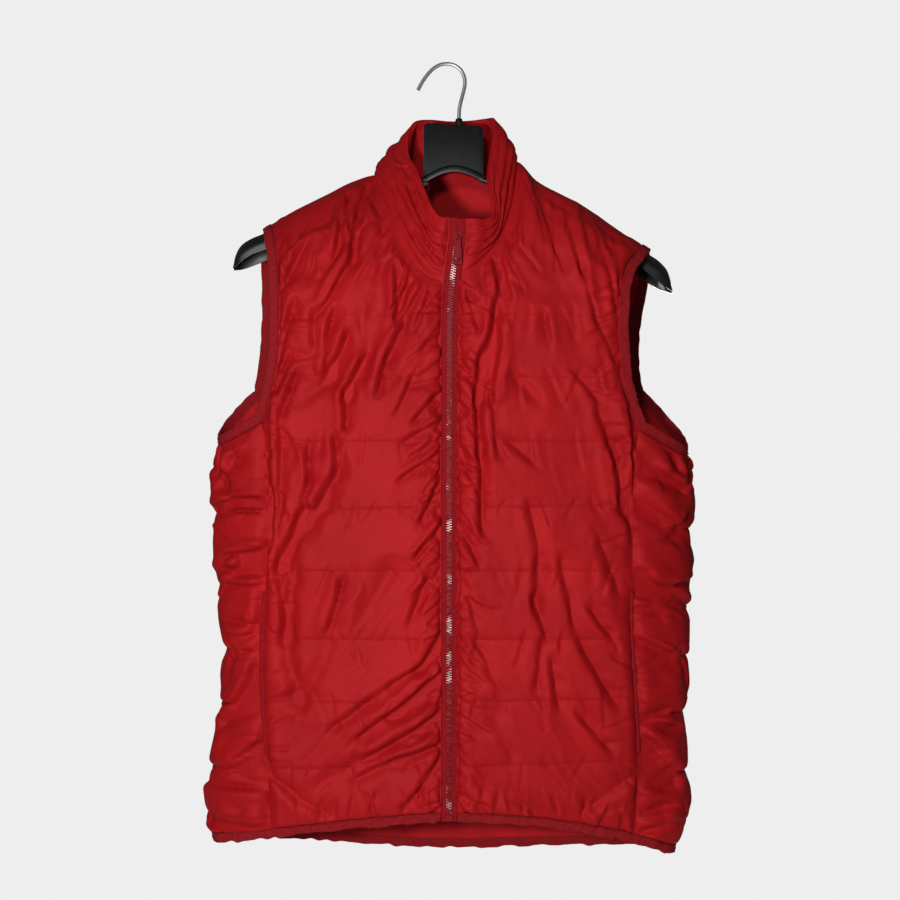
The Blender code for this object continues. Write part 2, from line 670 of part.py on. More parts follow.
def back_grid():
    """The back, with corners of its upper edge at columns 0, 1, 2 and 3."""
    stations = neck_columns(LEFT_NECK, RIGHT_NECK)
    run = RIGHT_NECK - LEFT_NECK
    left_tip, right_tip = -ARMHOLE["back", "left"][0].x, ARMHOLE["back", "right"][0].x
    left_neck, right_neck = stand_base(LEFT_NECK).x, stand_base(RIGHT_NECK).x

    def upper_edge(column):
        if column <= 1:
            return shoulder_point(left_tip, left_neck, column)
        if column >= 2:
            return shoulder_point(right_tip, right_neck, 3 - column)
        return stand_base(LEFT_NECK + (column - 1) * run)

    def left_edge(z):
        return edge_x("back", "left", z)

    def right_edge(z):
        return edge_x("back", "right", z)

    def share_of(column):
        neck = BACK_NECK_SHARE
        if column <= 1:
            return neck * column
        if column <= 2:
            return neck + (1 - 2 * neck) * (column - 1)
        return 1 - neck + neck * (column - 2)

    columns = SHOULDER_COLUMNS + [1 + (station - LEFT_NECK) / run for station in stations]
    columns += [3 - column for column in SHOULDER_COLUMNS[::-1]]
    rows = panel_grid("back", columns, share_of, upper_edge, left_edge, right_edge,
                      BACK_QUILT)
    normals = grid_normals(rows, 1)
    set_body_normals(rows, normals)
    blank = [None] * len(SHOULDER_COLUMNS)
    set_top_normals(rows, normals, blank + stations + blank)
    heights = panel_heights(rows, BACK_FOLDS, BACK_QUILT, zipped=False)
    return Grid(rows, normals, heights)


def side_grid(side):
    """A side panel under the armhole, from the front seam to the back seam."""
    front_top = ARMHOLE["front", side][-1].z
    back_top = ARMHOLE["back", side][-1].z
    points, heights = [], []
    for share in SIDE_COLUMNS:
        dip = ARMPIT_DIP[side] - mix(front_top, back_top, 0.5)
        top = mix(front_top, back_top, share) + dip * math.sin(math.pi * share)
        place = side_point(side, share, HEM_LEVEL)
        foot = hem_height(place.x, place.y) + BAND
        line = [side_point(side, share, z)
                for z in body_rows(SIDE_QUILT[side], 0, foot, top, [])]
        points.append(line)
    rows = [list(row) for row in zip(*points)]
    for row in rows:
        line = []
        for column, point in enumerate(row):
            foot, head = rows[0][column].z, rows[-1][column].z
            puff = baffle(point.z, 0, SIDE_QUILT[side], foot, head)
            puff *= rise((point - row[0]).length) * rise((point - row[-1]).length)
            gather = PUCKER_HEIGHT * math.sin(2 * math.pi * point.y / PUCKER_PITCH)
            gather *= bell(point.z - foot, GATHER_REACH)
            line.append(outer_height(puff, crease(point.y, point.z, SIDE_FOLDS[side]), gather))
        heights.append(line)
    normals = [[oval_normal(point) for point in row] for row in rows]
    return Grid(rows, normals, heights)


def collar_grid():
    """The stand collar, from its seam up to its rolled edge."""
    rows = []
    for share in COLLAR_ROWS:
        line = []
        for station in COLLAR_STATIONS:
            base, top = stand_base(station), stand_top(station)
            point = mix(base, top, share)
            away = Vector((point.x / 60, point.y / 50, 0)).normalized()
            bulge = COLLAR_BULGE * math.sin(math.pi * share) * bell(point.y - 15, 32)
            point += away * bulge
            for end, turn in ((0, -1), (20, 1)):
                nearness = max(1 - abs(station - end), 0)
                straight = mix(stand_base(end), stand_top(end), share)
                along_zip = Vector((zip_x(straight.z) + turn * ZIP_HALF,
                                    zip_front_y(straight.z), straight.z))
                point += (along_zip - straight) * nearness
            line.append(point)
        rows.append(line)
    normals = []
    for row, line in enumerate(rows):
        low, high = max(row - 1, 0), min(row + 1, len(rows) - 1)
        directions = []
        for column, point in enumerate(line):
            left, right = max(column - 1, 0), min(column + 1, len(line) - 1)
            across = line[right] - line[left]
            normal = across.cross(rows[high][column] - rows[low][column]).normalized()
            away = Vector((point.x, point.y, 0))
            directions.append(normal if normal.dot(away) > 0 else -normal)
        normals.append(directions)
    normals[0] = [neck_normal(stand_base(station)) for station in COLLAR_STATIONS]
    heights = []
    for share in COLLAR_ROWS:
        line = []
        for column, station in enumerate(COLLAR_STATIONS):
            base = stand_base(station)
            ends = [(base - stand_base(end)).length for end in (0, 20)]
            puff = math.sin(math.pi * share) ** 0.9 * rise(ends[0], 2, 14) * rise(ends[1], 2, 14)
            edge = (COLLAR_RIM - WALL) * share ** 3 * rise(ends[0], 2, 8) * rise(ends[1], 2, 8)
            wrinkle = crease(station, share, COLLAR_FOLDS) * puff
            line.append(max(WALL + COLLAR_PUFF * puff + edge + wrinkle, SLIM))
        heights.append(line)
    return Grid(rows, normals, heights)


# ---------------------------------------------------------------- meshes and materials

def finish(name, colour, roughness, metallic=0.0):
    material = bpy.data.materials.new(name)
    material.use_nodes = True
    shader = material.node_tree.nodes["Principled BSDF"]
    shader.inputs["Base Color"].default_value = (*colour, 1)
    shader.inputs["Roughness"].default_value = roughness
    shader.inputs["Metallic"].default_value = metallic
    return material


def body_object(name, mesh, material, smooth=True):
    """Closed body in metres with its faces turned out."""
    bmesh.ops.recalc_face_normals(mesh, faces=mesh.faces)
    data = bpy.data.meshes.new(name)
    mesh.to_mesh(data)
    mesh.free()
    if smooth:
        data.shade_smooth()
        data.set_sharp_from_angle(angle=math.radians(50))
    data.materials.append(material)
    item = bpy.data.objects.new(name, data)
    bpy.context.collection.objects.link(item)
    return item


def wall_object(name, grid, material, clear=GAP / 2):
    """Cloth wall between a grid's plain inside and its quilted outer face."""
    mesh = bmesh.new()
    inside = grid.pulled_in(clear)
    layers = []
    for heights in (None, grid.heights):
        layer = []
        for row, line in enumerate(inside):
            layer.append([
                mesh.verts.new((point + grid.normals[row][column]
                                * (heights[row][column] if heights else 0)) * MM)
                for column, point in enumerate(line)
            ])
        layers.append(layer)
    rows, columns = len(inside), len(inside[0])
    for layer in layers:
        for row in range(rows - 1):
            for column in range(columns - 1):
                mesh.faces.new((layer[row][column], layer[row][column + 1],
                                layer[row + 1][column + 1], layer[row + 1][column]))
    border = [(0, column) for column in range(columns)]
    border += [(row, columns - 1) for row in range(1, rows)]
    border += [(rows - 1, column) for column in range(columns - 2, -1, -1)]
    border += [(row, 0) for row in range(rows - 2, 0, -1)]
    for (row, column), (next_row, next_column) in zip(border, border[1:] + border[:1]):
        mesh.faces.new((layers[0][row][column], layers[0][next_row][next_column],
                        layers[1][next_row][next_column], layers[1][row][column]))
    return body_object(name, mesh, material)


def loft_mesh(rings, closed=False):
    """Closed shape through rings of points in millimetres, capped unless it runs round."""
    mesh = bmesh.new()
    lines = [[mesh.verts.new(Vector(point) * MM) for point in ring] for ring in rings]
    pairs = list(zip(lines, lines[1:]))
    if closed:
        pairs.append((lines[-1], lines[0]))
    for first, last in pairs:
        for here in range(len(first)):
            after = (here + 1) % len(first)
            mesh.faces.new((first[here], first[after], last[after], last[here]))
    if not closed:
        mesh.faces.new(lines[0])
        mesh.faces.new(lines[-1][::-1])
    bmesh.ops.recalc_face_normals(mesh, faces=mesh.faces)
    return mesh


def prism_mesh(first, last):
    """Closed shape between two flat outlines with as many points, in millimetres."""
    mesh = bmesh.new()
    ends = [[mesh.verts.new(Vector(point) * MM) for point in outline]
            for outline in (first, last)]
    for outline in ends:
        mesh.faces.new(outline)
    for here in range(len(first)):
        after = (here + 1) % len(first)
        mesh.faces.new((ends[0][here], ends[0][after], ends[1][after], ends[1][here]))
    bmesh.ops.recalc_face_normals(mesh, faces=mesh.faces)
    return mesh


def loft_object(name, rings, material, closed=False, smooth=True):
    return body_object(name, loft_mesh(rings, closed), material, smooth)


def band_rings(path, normals, away, start, width, low, high):
    """Rings of a flat band beside a path, with its outer edges rounded off."""
    section = [(0, low), (0, high * 0.8), (0.18, high), (0.8, high), (1, high * 0.6), (1, low)]
    rings = []
    for point, normal, side in zip(path, normals, away):
        rings.append([point + side * (start + share * width) + normal * height
                      for share, height in section])
    return rings


def directions_beside(path, normals, turn, closed):
    """Directions in the cloth square to a path, to one side of it."""
    count = len(path)
    beside = []
    for index in range(count):
        before = index - 1 if index > 0 or closed else index
        after = (index + 1) % count if index < count - 1 or closed else index
        along = path[after] - path[before]
        beside.append(along.cross(normals[index]).normalized() * turn)
    return beside


# ---------------------------------------------------------------- pieces

def armhole_binding(side, front, sides, back, material):
    """Flat binding round an armhole, from the shoulder down the front and up the back."""
    edge = 0 if side == "left" else -1
    path, normals = [], []

    def add(grid, row, column):
        path.append(grid.points[row][column].copy())
        normals.append(grid.normals[row][column].copy())

    top = len(front.points) - 1
    front_corner = ARMHOLE["front", side][-1].z
    back_corner = ARMHOLE["back", side][-1].z
    for row in range(top, -1, -1):
        if front.points[row][0].z > front_corner - 0.5:
            add(front, row, 0)
    for column in range(2, len(sides.points[0]) - 2):
        add(sides, -1, column)
    for row in range(len(back.points) - 1):
        if back.points[row][edge].z > back_corner - 0.5:
            add(back, row, edge)
    turn = 1 if side == "right" else -1
    away = directions_beside(path, normals, -turn, True)
    rings = band_rings(path, normals, away, GAP, BIND, 0, BAND_THICK)
    return loft_object(f"armhole_binding_{side}", rings, material, closed=True)


def hem_binding(grids, material):
    """Elastic hem binding, from one edge of the zip round the body to the other."""
    path, normals = [], []
    for grid, order, first, last in grids:
        columns = list(range(len(grid.points[0])))[::order]
        for column in columns[first:len(columns) - last]:
            path.append(grid.points[0][column].copy())
            normals.append(grid.normals[0][column].copy())
    path[0].x -= HEM_END
    path[-1].x += HEM_END
    away = directions_beside(path, normals, 1, False)
    if away[0].z > 0:
        away = [-direction for direction in away]
    away[0].x = away[-1].x = 0
    rings = band_rings(path, normals, away, GAP / 2, BAND - GAP / 2, 0, BAND_THICK)
    return loft_object("hem_binding", rings, material)


def zip_front_y(z):
    """Plain inside of the fronts and the collar along the zip."""
    return -read(BODY, "front", z)


def zip_tape(side, material):
    """Woven tape beside the zip's middle, from the hem to the collar's edge."""
    foot = read(HEM_FRONT, "z", 0)
    head = read(COLLAR, "tz", 0 if side == "left" else 20)
    turn = sign_of(side)
    rings = []
    steps = 40
    for step in range(steps + 1):
        z = mix(foot, head, step / steps)
        near = zip_x(z) + turn * GAP / 2
        far = zip_x(z) + turn * (ZIP_HALF - GAP)
        y = zip_front_y(z)
        rings.append([(near, y, z), (far, y, z), (far, y - TAPE_THICK, z),
                      (near, y - TAPE_THICK, z)])
    return loft_object(f"zip_tape_{side}", rings, material, smooth=False)


def pocket_zip(side, material):
    """Narrow closed zip over the seam of front and side panel."""
    rings = []
    steps = 14
    for step in range(steps + 1):
        z = mix(POCKET_FOOT, POCKET_TOP, step / steps)
        point = face_point("front", edge_x("front", side, z), z)
        normal = oval_normal(point)
        across = normal.cross(Vector((0, 0, 1))).normalized()
        low = WALL + GAP
        ends = math.sin(math.pi * min(max(step / steps, 0.02), 0.98)) ** 0.15
        half = POCKET_WIDTH / 2 * ends
        rings.append([point + across * share * half + normal * height for share, height in
                      ((-1, low), (1, low), (1, low + POCKET_THICK * 0.6),
                       (0, low + POCKET_THICK), (-1, low + POCKET_THICK * 0.6))])
    return loft_object(f"pocket_zip_{side}", rings, material)


def box_mesh(size, middle):
    mesh = bmesh.new()
    bmesh.ops.create_cube(mesh, size=1)
    bmesh.ops.scale(mesh, vec=Vector(size) * MM, verts=mesh.verts)
    bmesh.ops.translate(mesh, vec=Vector(middle) * MM, verts=mesh.verts)
    return mesh


def joined(name, meshes, material, cutters=()):
    """One body from several closed shapes by exact union, less the cutters."""
    items = [body_object(f"{name}_{index}", mesh, material, smooth=False)
             for index, mesh in enumerate(list(meshes) + list(cutters))]
    base = items[0]
    for index, item in enumerate(items[1:], 1):
        boolean = base.modifiers.new(f"join{index}", "BOOLEAN")
        boolean.operation = "UNION" if index < len(meshes) else "DIFFERENCE"
        boolean.solver = "EXACT"
        boolean.object = item
    graph = bpy.context.evaluated_depsgraph_get()
    data = bpy.data.meshes.new_from_object(base.evaluated_get(graph))
    for item in items:
        bpy.data.objects.remove(item)
    data.name = name
    result = bpy.data.objects.new(name, data)
    bpy.context.collection.objects.link(result)
    return result


def slider_face_y():
    """Front face of the slider's plate."""
    return zip_front_y(SLIDER_Z) - TAPE_THICK - GAP - SLIDER_THICK


def zip_slider(material):
    """Slider: a plate over the zip with a round bridge that holds the pull tab."""
    x, z = zip_x(SLIDER_Z), SLIDER_Z
    back = zip_front_y(SLIDER_Z) - TAPE_THICK - GAP
    half, tall = SLIDER_WIDTH / 2, SLIDER_HEIGHT / 2
    outline = [(-half, tall), (half, tall), (half * 0.96, 0), (half * 0.55, -tall),
               (-half * 0.55, -tall), (-half * 0.96, 0)]
    plate = prism_mesh(*[[(x + px, y, z + pz) for px, pz in outline]
                         for y in (back, back - SLIDER_THICK)])
    bridge = bmesh.new()
    pin_y = slider_face_y() - PIN_LIFT
    turns = 8
    angles = [math.pi * step / turns for step in range(turns + 1)]
    outer = [(-BRIDGE_OUTER, PIN_LIFT + 0.5)]
    outer += [(-BRIDGE_OUTER * math.cos(a), -BRIDGE_OUTER * math.sin(a)) for a in angles]
    outer += [(BRIDGE_OUTER, PIN_LIFT + 0.5)]
    inner = [(BRIDGE_INNER, PIN_LIFT + 0.5)]
    inner += [(BRIDGE_INNER * math.cos(a), -BRIDGE_INNER * math.sin(a)) for a in angles]
    inner += [(-BRIDGE_INNER, PIN_LIFT + 0.5)]
    profile = outer + inner
    layers = [[bridge.verts.new(Vector((x + dx, pin_y + dy, z + dz)) * MM)
               for dz, dy in profile] for dx in (-BRIDGE_WIDTH / 2, BRIDGE_WIDTH / 2)]
    count = len(profile)
    half_count = count // 2
    for layer in layers:
        for here in range(half_count - 1):
            layer_face = (layer[here], layer[here + 1], layer[count - 2 - here],
                          layer[count - 1 - here])
            bridge.faces.new(layer_face)
    for here in range(count):
        after = (here + 1) % count
        bridge.faces.new((layers[0][here], layers[0][after], layers[1][after],
                          layers[1][here]))
    bmesh.ops.recalc_face_normals(bridge, faces=bridge.faces)
    return joined("zip_slider", [plate, bridge], material)


def pull_tab(material):
    """Hanging tab with an eye round the slider's bridge and a slot near its end."""
    x, z = zip_x(SLIDER_Z), SLIDER_Z
    y = slider_face_y() - PIN_LIFT
    top, foot = PIN_RADIUS, -TAB_LENGTH
    outline = [(-TAB_TOP_WIDTH / 2, top), (TAB_TOP_WIDTH / 2, top),
               (TAB_TOP_WIDTH / 2, -7), (TAB_END_WIDTH / 2, foot + 0.8),
               (TAB_END_WIDTH / 2 - 0.8, foot), (-TAB_END_WIDTH / 2 + 0.8, foot),
               (-TAB_END_WIDTH / 2, foot + 0.8), (-TAB_TOP_WIDTH / 2, -7)]
    blade = prism_mesh(*[[(x + px, y + half, z + pz) for px, pz in outline]
                         for half in (TAB_THICK / 2, -TAB_THICK / 2)])
    eye_middle = -PIN_RADIUS - TAB_EYE_LENGTH / 2
    eye = box_mesh((TAB_EYE_WIDTH, 4, TAB_EYE_LENGTH), (x, y, z + eye_middle))
    slot = box_mesh((TAB_SLOT_WIDTH, 4, TAB_SLOT_HEIGHT), (x, y, z + foot + 4.2))
    item = joined("zip_pull_tab", [blade], material, cutters=(eye, slot))
    pivot = Vector((x, y, z)) * MM
    item.data.transform(Matrix.Translation(-pivot))
    item.location = pivot
    return item


def zip_stop(material):
    """Box at the foot of the zip, over both tapes."""
    foot = read(HEM_FRONT, "z", 0)
    z = foot + 4
    y = zip_front_y(z) - TAPE_THICK - GAP - 1.2
    mesh = box_mesh((8, 2.4, 6), (zip_x(z), y, z))
    bmesh.ops.bevel(mesh, geom=mesh.edges[:], offset=0.5 * MM, segments=1, affect="EDGES")
    return body_object("zip_stop", mesh, material)


def arm_ring(arm):
    """Section of a hanger arm: a roof with two lips, open below."""
    half = arm.half
    shoulder = 0.55 * half
    roof = -shoulder * ARM_ROOF - 0.3
    eave = max(-half * ARM_ROOF - 3.5, (arm.front - arm.ridge) * 0.62)
    inner = half - ARM_WALL
    ceiling = max(eave - 1.4, (arm.front - arm.ridge) * 0.72)
    outline = [(-half, arm.front - arm.ridge), (-half, eave), (-shoulder, roof), (0, 0),
               (shoulder, roof), (half, eave), (half, arm.rear - arm.ridge),
               (inner, arm.rear - arm.ridge), (inner, ceiling), (0, -ARM_WALL - 1.2),
               (-inner, ceiling), (-inner, arm.front - arm.ridge)]
    return [(arm.x, y, arm.ridge + z) for y, z in outline]


def hanger_arm(side):
    """Arm from the middle plate out to its drooping tip past the armhole."""
    root = ARM_ROOT[side]
    neck_x = neck_corner(side).x
    shoulder_x = sign_of(side) * ARMHOLE["front", side][0].x
    arms = [root]
    for share in SHOULDER_COLUMNS[::-1]:
        x = mix(shoulder_x, neck_x, share)
        drop = ARM_DROP + ARM_NECK_DROP * bell(x - neck_x, NECK_REACH)
        ridge = read(SHOULDER, "z", x) - drop
        out = (x - root.x) / (shoulder_x - root.x)
        arms.append(Arm(x, ridge,
                        ridge + mix(root.front - root.ridge, ARM_AT_SHOULDER.front, out),
                        ridge + mix(root.rear - root.ridge, ARM_AT_SHOULDER.rear, out),
                        mix(root.half, ARM_AT_SHOULDER.half, out)))
    return [arm_ring(arm) for arm in arms + ARM_TIP[side]]


def hanger_body(material):
    """Moulded hanger: middle plate with an arched foot, its rim, a boss and two arms."""
    steps = 8

    def arch(share):
        return mix(ARCH_END_LEFT, ARCH_END_RIGHT, share) + ARCH_RISE * math.sin(math.pi * share)

    plate_rings, rim_rings = [], []
    for step in range(steps + 1):
        share = step / steps
        x = mix(PLATE_LEFT, PLATE_RIGHT, share)
        corner = PLATE_RADIUS * (1 if step in (0, steps) else 0)
        top = mix(PLATE_TOP_LEFT, PLATE_TOP_RIGHT, share) - corner
        low = arch(share)
        plate_rings.append([(x, -PLATE_HALF, low + 1), (x, PLATE_HALF, low + 1),
                            (x, PLATE_HALF, top), (x, -PLATE_HALF, top)])
        rim_rings.append([(x, -RIM_HALF, low), (x, RIM_HALF, low),
                          (x, RIM_HALF, low + RIM * 0.7), (x, PLATE_HALF - 1, low + RIM),
                          (x, 1 - PLATE_HALF, low + RIM), (x, -RIM_HALF, low + RIM * 0.7)])
    boss = bmesh.new()
    bmesh.ops.create_cone(boss, cap_ends=True, segments=12, radius1=BOSS_RADIUS * MM,
                          radius2=BOSS_RADIUS * 0.75 * MM, depth=9 * MM)
    bmesh.ops.translate(boss, vec=Vector((HOOK[-1].x, 0, BOSS_TOP - 4.5)) * MM,
                        verts=boss.verts)
    meshes = [loft_mesh(plate_rings), loft_mesh(rim_rings), boss,
              loft_mesh(hanger_arm("left")), loft_mesh(hanger_arm("right"))]
    return joined("hanger_body", meshes, material)


def hook_points():
    """Middle line of the wire, smoothed between the hand-set bends."""
    ends = [0.0]
    for first, last in zip(HOOK, HOOK[1:]):
        ends.append(ends[-1] + math.hypot(last.x - first.x, last.z - first.z))
    Mark = namedtuple("Mark", "run x z")
    marks = [Mark(run, bend.x, bend.z) for run, bend in zip(ends, HOOK)]
    steps = 30
    return [Vector((read(marks, "x", ends[-1] * step / steps), 0,
                    read(marks, "z", ends[-1] * step / steps))) for step in range(steps + 1)]


def hanger_hook(material):
    """Bent steel wire, round all along, standing on the boss."""
    path = hook_points()
    path[-1].z = BOSS_TOP + GAP
    rings = []
    for index, point in enumerate(path):
        along = path[min(index + 1, len(path) - 1)] - path[max(index - 1, 0)]
        if index == len(path) - 1:
            along = Vector((0, 0, -1))
        along.normalize()
        across = along.cross(Vector((0, 1, 0))).normalized()
        rings.append([point + HOOK_RADIUS * (across * math.cos(2 * math.pi * turn / HOOK_SIDES)
                                             + Vector((0, math.sin(2 * math.pi * turn
                                                                   / HOOK_SIDES), 0)))
                      for turn in range(HOOK_SIDES)])
    return loft_object("hanger_hook", rings, material)


def main():
    for item in list(bpy.data.objects):
        bpy.data.objects.remove(item)

    satin = (0.39, 0.012, 0.018)
    dark = (0.24, 0.008, 0.012)
    painted = (0.46, 0.06, 0.07)
    black = (0.012, 0.013, 0.013)

    front_left, front_right = front_grid("left"), front_grid("right")
    side_left, side_right = side_grid("left"), side_grid("right")
    back, collar = back_grid(), collar_grid()
    for name, grid in (("front_left", front_left), ("front_right", front_right),
                       ("side_left", side_left), ("side_right", side_right),
                       ("back", back)):
        wall_object(name, grid, finish(f"satin nylon {name}", satin, 0.36))
    wall_object("collar", collar, finish("satin nylon collar", satin, 0.36), GAP)

    armhole_binding("left", front_left, side_left, back, finish("binding left", dark, 0.6))
    armhole_binding("right", front_right, side_right, back, finish("binding right", dark, 0.6))
    hem_binding([(front_left, -1, 0, 0), (side_left, 1, 1, 1), (back, 1, 0, 0),
                 (side_right, -1, 1, 1), (front_right, 1, 0, 0)],
                finish("hem binding", dark, 0.6))
    for side in ("left", "right"):
        zip_tape(side, finish(f"zip tape {side}", painted, 0.7))
        pocket_zip(side, finish(f"pocket zip {side}", painted, 0.6))
    zip_slider(finish("slider enamel", painted, 0.4, 0.2))
    pull_tab(finish("pull tab enamel", painted, 0.4, 0.2))
    zip_stop(finish("stop enamel", painted, 0.4, 0.2))
    hanger_body(finish("moulded black plastic", black, 0.35))
    hanger_hook(finish("bright steel wire", (0.55, 0.55, 0.53), 0.25, 1.0))


main()
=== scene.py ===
"""A quilted sleeveless jacket on a coat hanger: its cloth, bindings, zip, hanger and studio.

The file is laid out as an add-on and is run as a script. Lengths in the tables and
functions are in millimetres and become metres when a mesh is made. +X runs to the right
of someone who faces the jacket, -Y is its front, +Z is up, and the origin is the inside
top of the hanger's hook. The tables repeat the cut that the CAD solids are made from.
"""

import math
import random
from collections import namedtuple

import bmesh
import bpy
import numpy as np
from bpy.props import FloatProperty, FloatVectorProperty, IntProperty, PointerProperty
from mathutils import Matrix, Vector


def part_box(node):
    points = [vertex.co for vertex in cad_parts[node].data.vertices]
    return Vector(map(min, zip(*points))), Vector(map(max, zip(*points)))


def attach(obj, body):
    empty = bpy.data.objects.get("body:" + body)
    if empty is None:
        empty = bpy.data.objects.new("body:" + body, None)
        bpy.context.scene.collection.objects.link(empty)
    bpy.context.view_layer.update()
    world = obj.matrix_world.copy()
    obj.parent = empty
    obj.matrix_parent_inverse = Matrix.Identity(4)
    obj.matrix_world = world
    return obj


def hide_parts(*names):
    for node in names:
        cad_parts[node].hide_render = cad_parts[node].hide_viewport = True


bl_info = {
    "name": "Quilted vest on a hanger",
    "version": (1, 0, 0),
    "blender": (4, 5, 0),
    "location": "View3D > Sidebar > Vest",
    "description": "Builds a quilted vest, its bindings, zip and hanger around the packed solids",
    "category": "Add Mesh",
}

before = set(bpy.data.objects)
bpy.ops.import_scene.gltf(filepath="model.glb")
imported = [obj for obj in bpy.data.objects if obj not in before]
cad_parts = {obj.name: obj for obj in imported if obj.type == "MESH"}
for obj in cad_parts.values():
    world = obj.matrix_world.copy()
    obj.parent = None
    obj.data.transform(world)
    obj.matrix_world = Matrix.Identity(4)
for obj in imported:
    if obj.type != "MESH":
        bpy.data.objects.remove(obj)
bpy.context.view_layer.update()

MM = 0.001
SHARP = 60          # degrees from which an edge is drawn sharp
BODY_NAME = "vest"
SIDES = ("left", "right")


def table_of(kind, *rows):
    """One named tuple of a kind for each row of values."""
    return [kind(*row) for row in rows]


# ---------------------------------------------------------------- sizes of the cut

WALL = 2.5          # shell, wadding and lining where a seam flattens them
PUFF = 8.0          # how far a baffle's crown stands over its seams
SLIM = 1.4          # the least that a crease leaves of the wall
STOUT = 12.5        # the most that a fold thickens it to
GAP = 0.3           # between two pieces
INSIDE_STRIDE = 3   # the plain inside has one point for so many of the outer face
SEAM_LAP = 0.25     # how far a sewn edge reaches past its seam
ROUND = 2.5         # exponent of the body's oval section
STEEP = (1.2, 13.0)  # flat strip beside an upright seam, and the run to a full baffle
TOP_START = 2.0     # both at the seams of the collar and of the shoulders
TOP_RUN = 18.0
COLLAR_STEEP = (1.5, 12.0)      # and at the collar's ends
BAND = 10.0         # height of the elastic hem binding
BIND = 10.5         # width of the armhole binding
BAND_THICK = 3.6
BAND_STEP = 2.0     # from one section of a binding to the next
ARM_GATHER = 0.6    # how deep the elastic's gathers are
HEM_GATHER = 1.5
SEAM_STEP = 3.0     # from one point of a row of stitches to the next
ARM_STITCH = (1.6, BAND_THICK + 0.1)    # from the seam, and over the cloth
HEM_STITCH = (1.5, BAND_THICK + 0.25)
HEM_LEVEL = -780.0
HEM_END = 0.6
YOKE_Z = -256.5     # highest quilting seam that runs right across a front
SEAM_EVEN = 4       # columns to each side over which the top's directions are averaged
YOKE_BLEND = 30.0   # over which the wall's direction turns from the body's to the shoulder's
NECK_BELL = 34.0    # reach of the shoulders' change of form beside the collar
RIDGE_CURVE = 0.5   # exponents of the shoulder's section: round over the ridge,
NECK_CURVE = 0.88   # and flatter towards the collar
NECK_ROUND = 25.0   # how far behind the ridge the back's is flat
EDGE_CLEAR = 14.0   # least height between a quilting seam and a panel's end
FULL_BAFFLE = 55.0  # a lower baffle than this is less full
FADE = 4.0          # from a border to a fold's full depth
DETAIL_FADE = 3.0   # the same for small detail
DETAIL_LOW = -4.0   # the deepest and the highest that small detail goes
DETAIL_HIGH = 1.6
FAR = 1000.0        # no border is near
ARMHOLE_FOOT = -385.0
ARM_BLEND = 30.0    # height over which the drags beside an armhole fade out under it

Level = namedtuple("Level", "z left right front back")
BODY = table_of(Level,  # half widths to each side, depths before and behind the hanger
    (-163, 227, 237, 62, 45), (-220, 228, 239, 61, 48), (-256, 229, 240, 61, 50),
    (-384, 230, 242, 62, 52), (-460, 231, 243, 62, 53), (-528, 228, 240, 60, 52),
    (-595, 221, 239, 58, 51), (-651, 226, 236, 57, 50), (-715, 235, 238, 54, 49),
    (-752, 238, 238, 51, 48), (-801, 234, 228, 47, 46))

Seam = namedtuple("Seam", "z left right")
FRONT_SEAM = table_of(Seam,  # distance from the middle to the seam of front and side
    (-366, 184, 191), (-430, 178, 186), (-500, 179, 185), (-565, 184, 184), (-635, 184, 188),
    (-700, 180, 191), (-790, 174, 188))
BACK_SEAM = table_of(Seam,
    (-337, 190, 194), (-430, 185, 190), (-565, 186, 190), (-700, 184, 192), (-800, 180, 190))

Edge = namedtuple("Edge", "z x")
ARMHOLE = {         # edge of the panel beside the armhole, from the shoulder down
    ("front", "left"): table_of(Edge,
        (-164, 177), (-195, 170), (-228, 167), (-271, 167), (-301, 168), (-345, 177),
        (-366, 184)),
    ("front", "right"): table_of(Edge,
        (-185, 197), (-211, 178), (-255, 171), (-318, 174), (-354, 183), (-372, 191)),
    ("back", "left"): table_of(Edge,
        (-164, 177), (-195, 181), (-232, 181), (-270, 181.5), (-315, 186), (-337, 190)),
    ("back", "right"): table_of(Edge,
        (-185, 197), (-220, 197), (-251, 191), (-288, 188), (-319, 190), (-337, 194)),
}
ARMPIT_DIP = {"left": -386, "right": -397}

Height = namedtuple("Height", "x z")
SHOULDER = table_of(Height,  # ridge of the shoulders, from one armhole to the other
    (-177, -164), (-150, -147.5), (-117, -131), (-95, -120.5), (-72, -114), (69, -100),
    (89, -119), (116, -134.5), (144, -149.5), (175, -171), (197, -185))
HEM_FRONT = table_of(Height,  # lower edge of the hem binding
    (-236, -790), (-174, -781), (-80, -769), (-6, -763), (10, -763), (90, -768), (150, -778),
    (188, -787), (229, -801))
HEM_BACK = table_of(Height,
    (-236, -790), (-160, -795), (-80, -802), (0, -806), (80, -804), (188, -801), (229, -801))

Place = namedtuple("Place", "z x")
ZIP_LINE = table_of(Place,  # middle of the zip, which leans over in the collar
    (-162, 11.2), (-180, 10.5), (-205, 7.5), (-230, 4.5), (-260, 3.0), (-300, 2.4), (-765, 2.0))
ZIP_HALF = 8.0
TAPE_THICK = 1.5

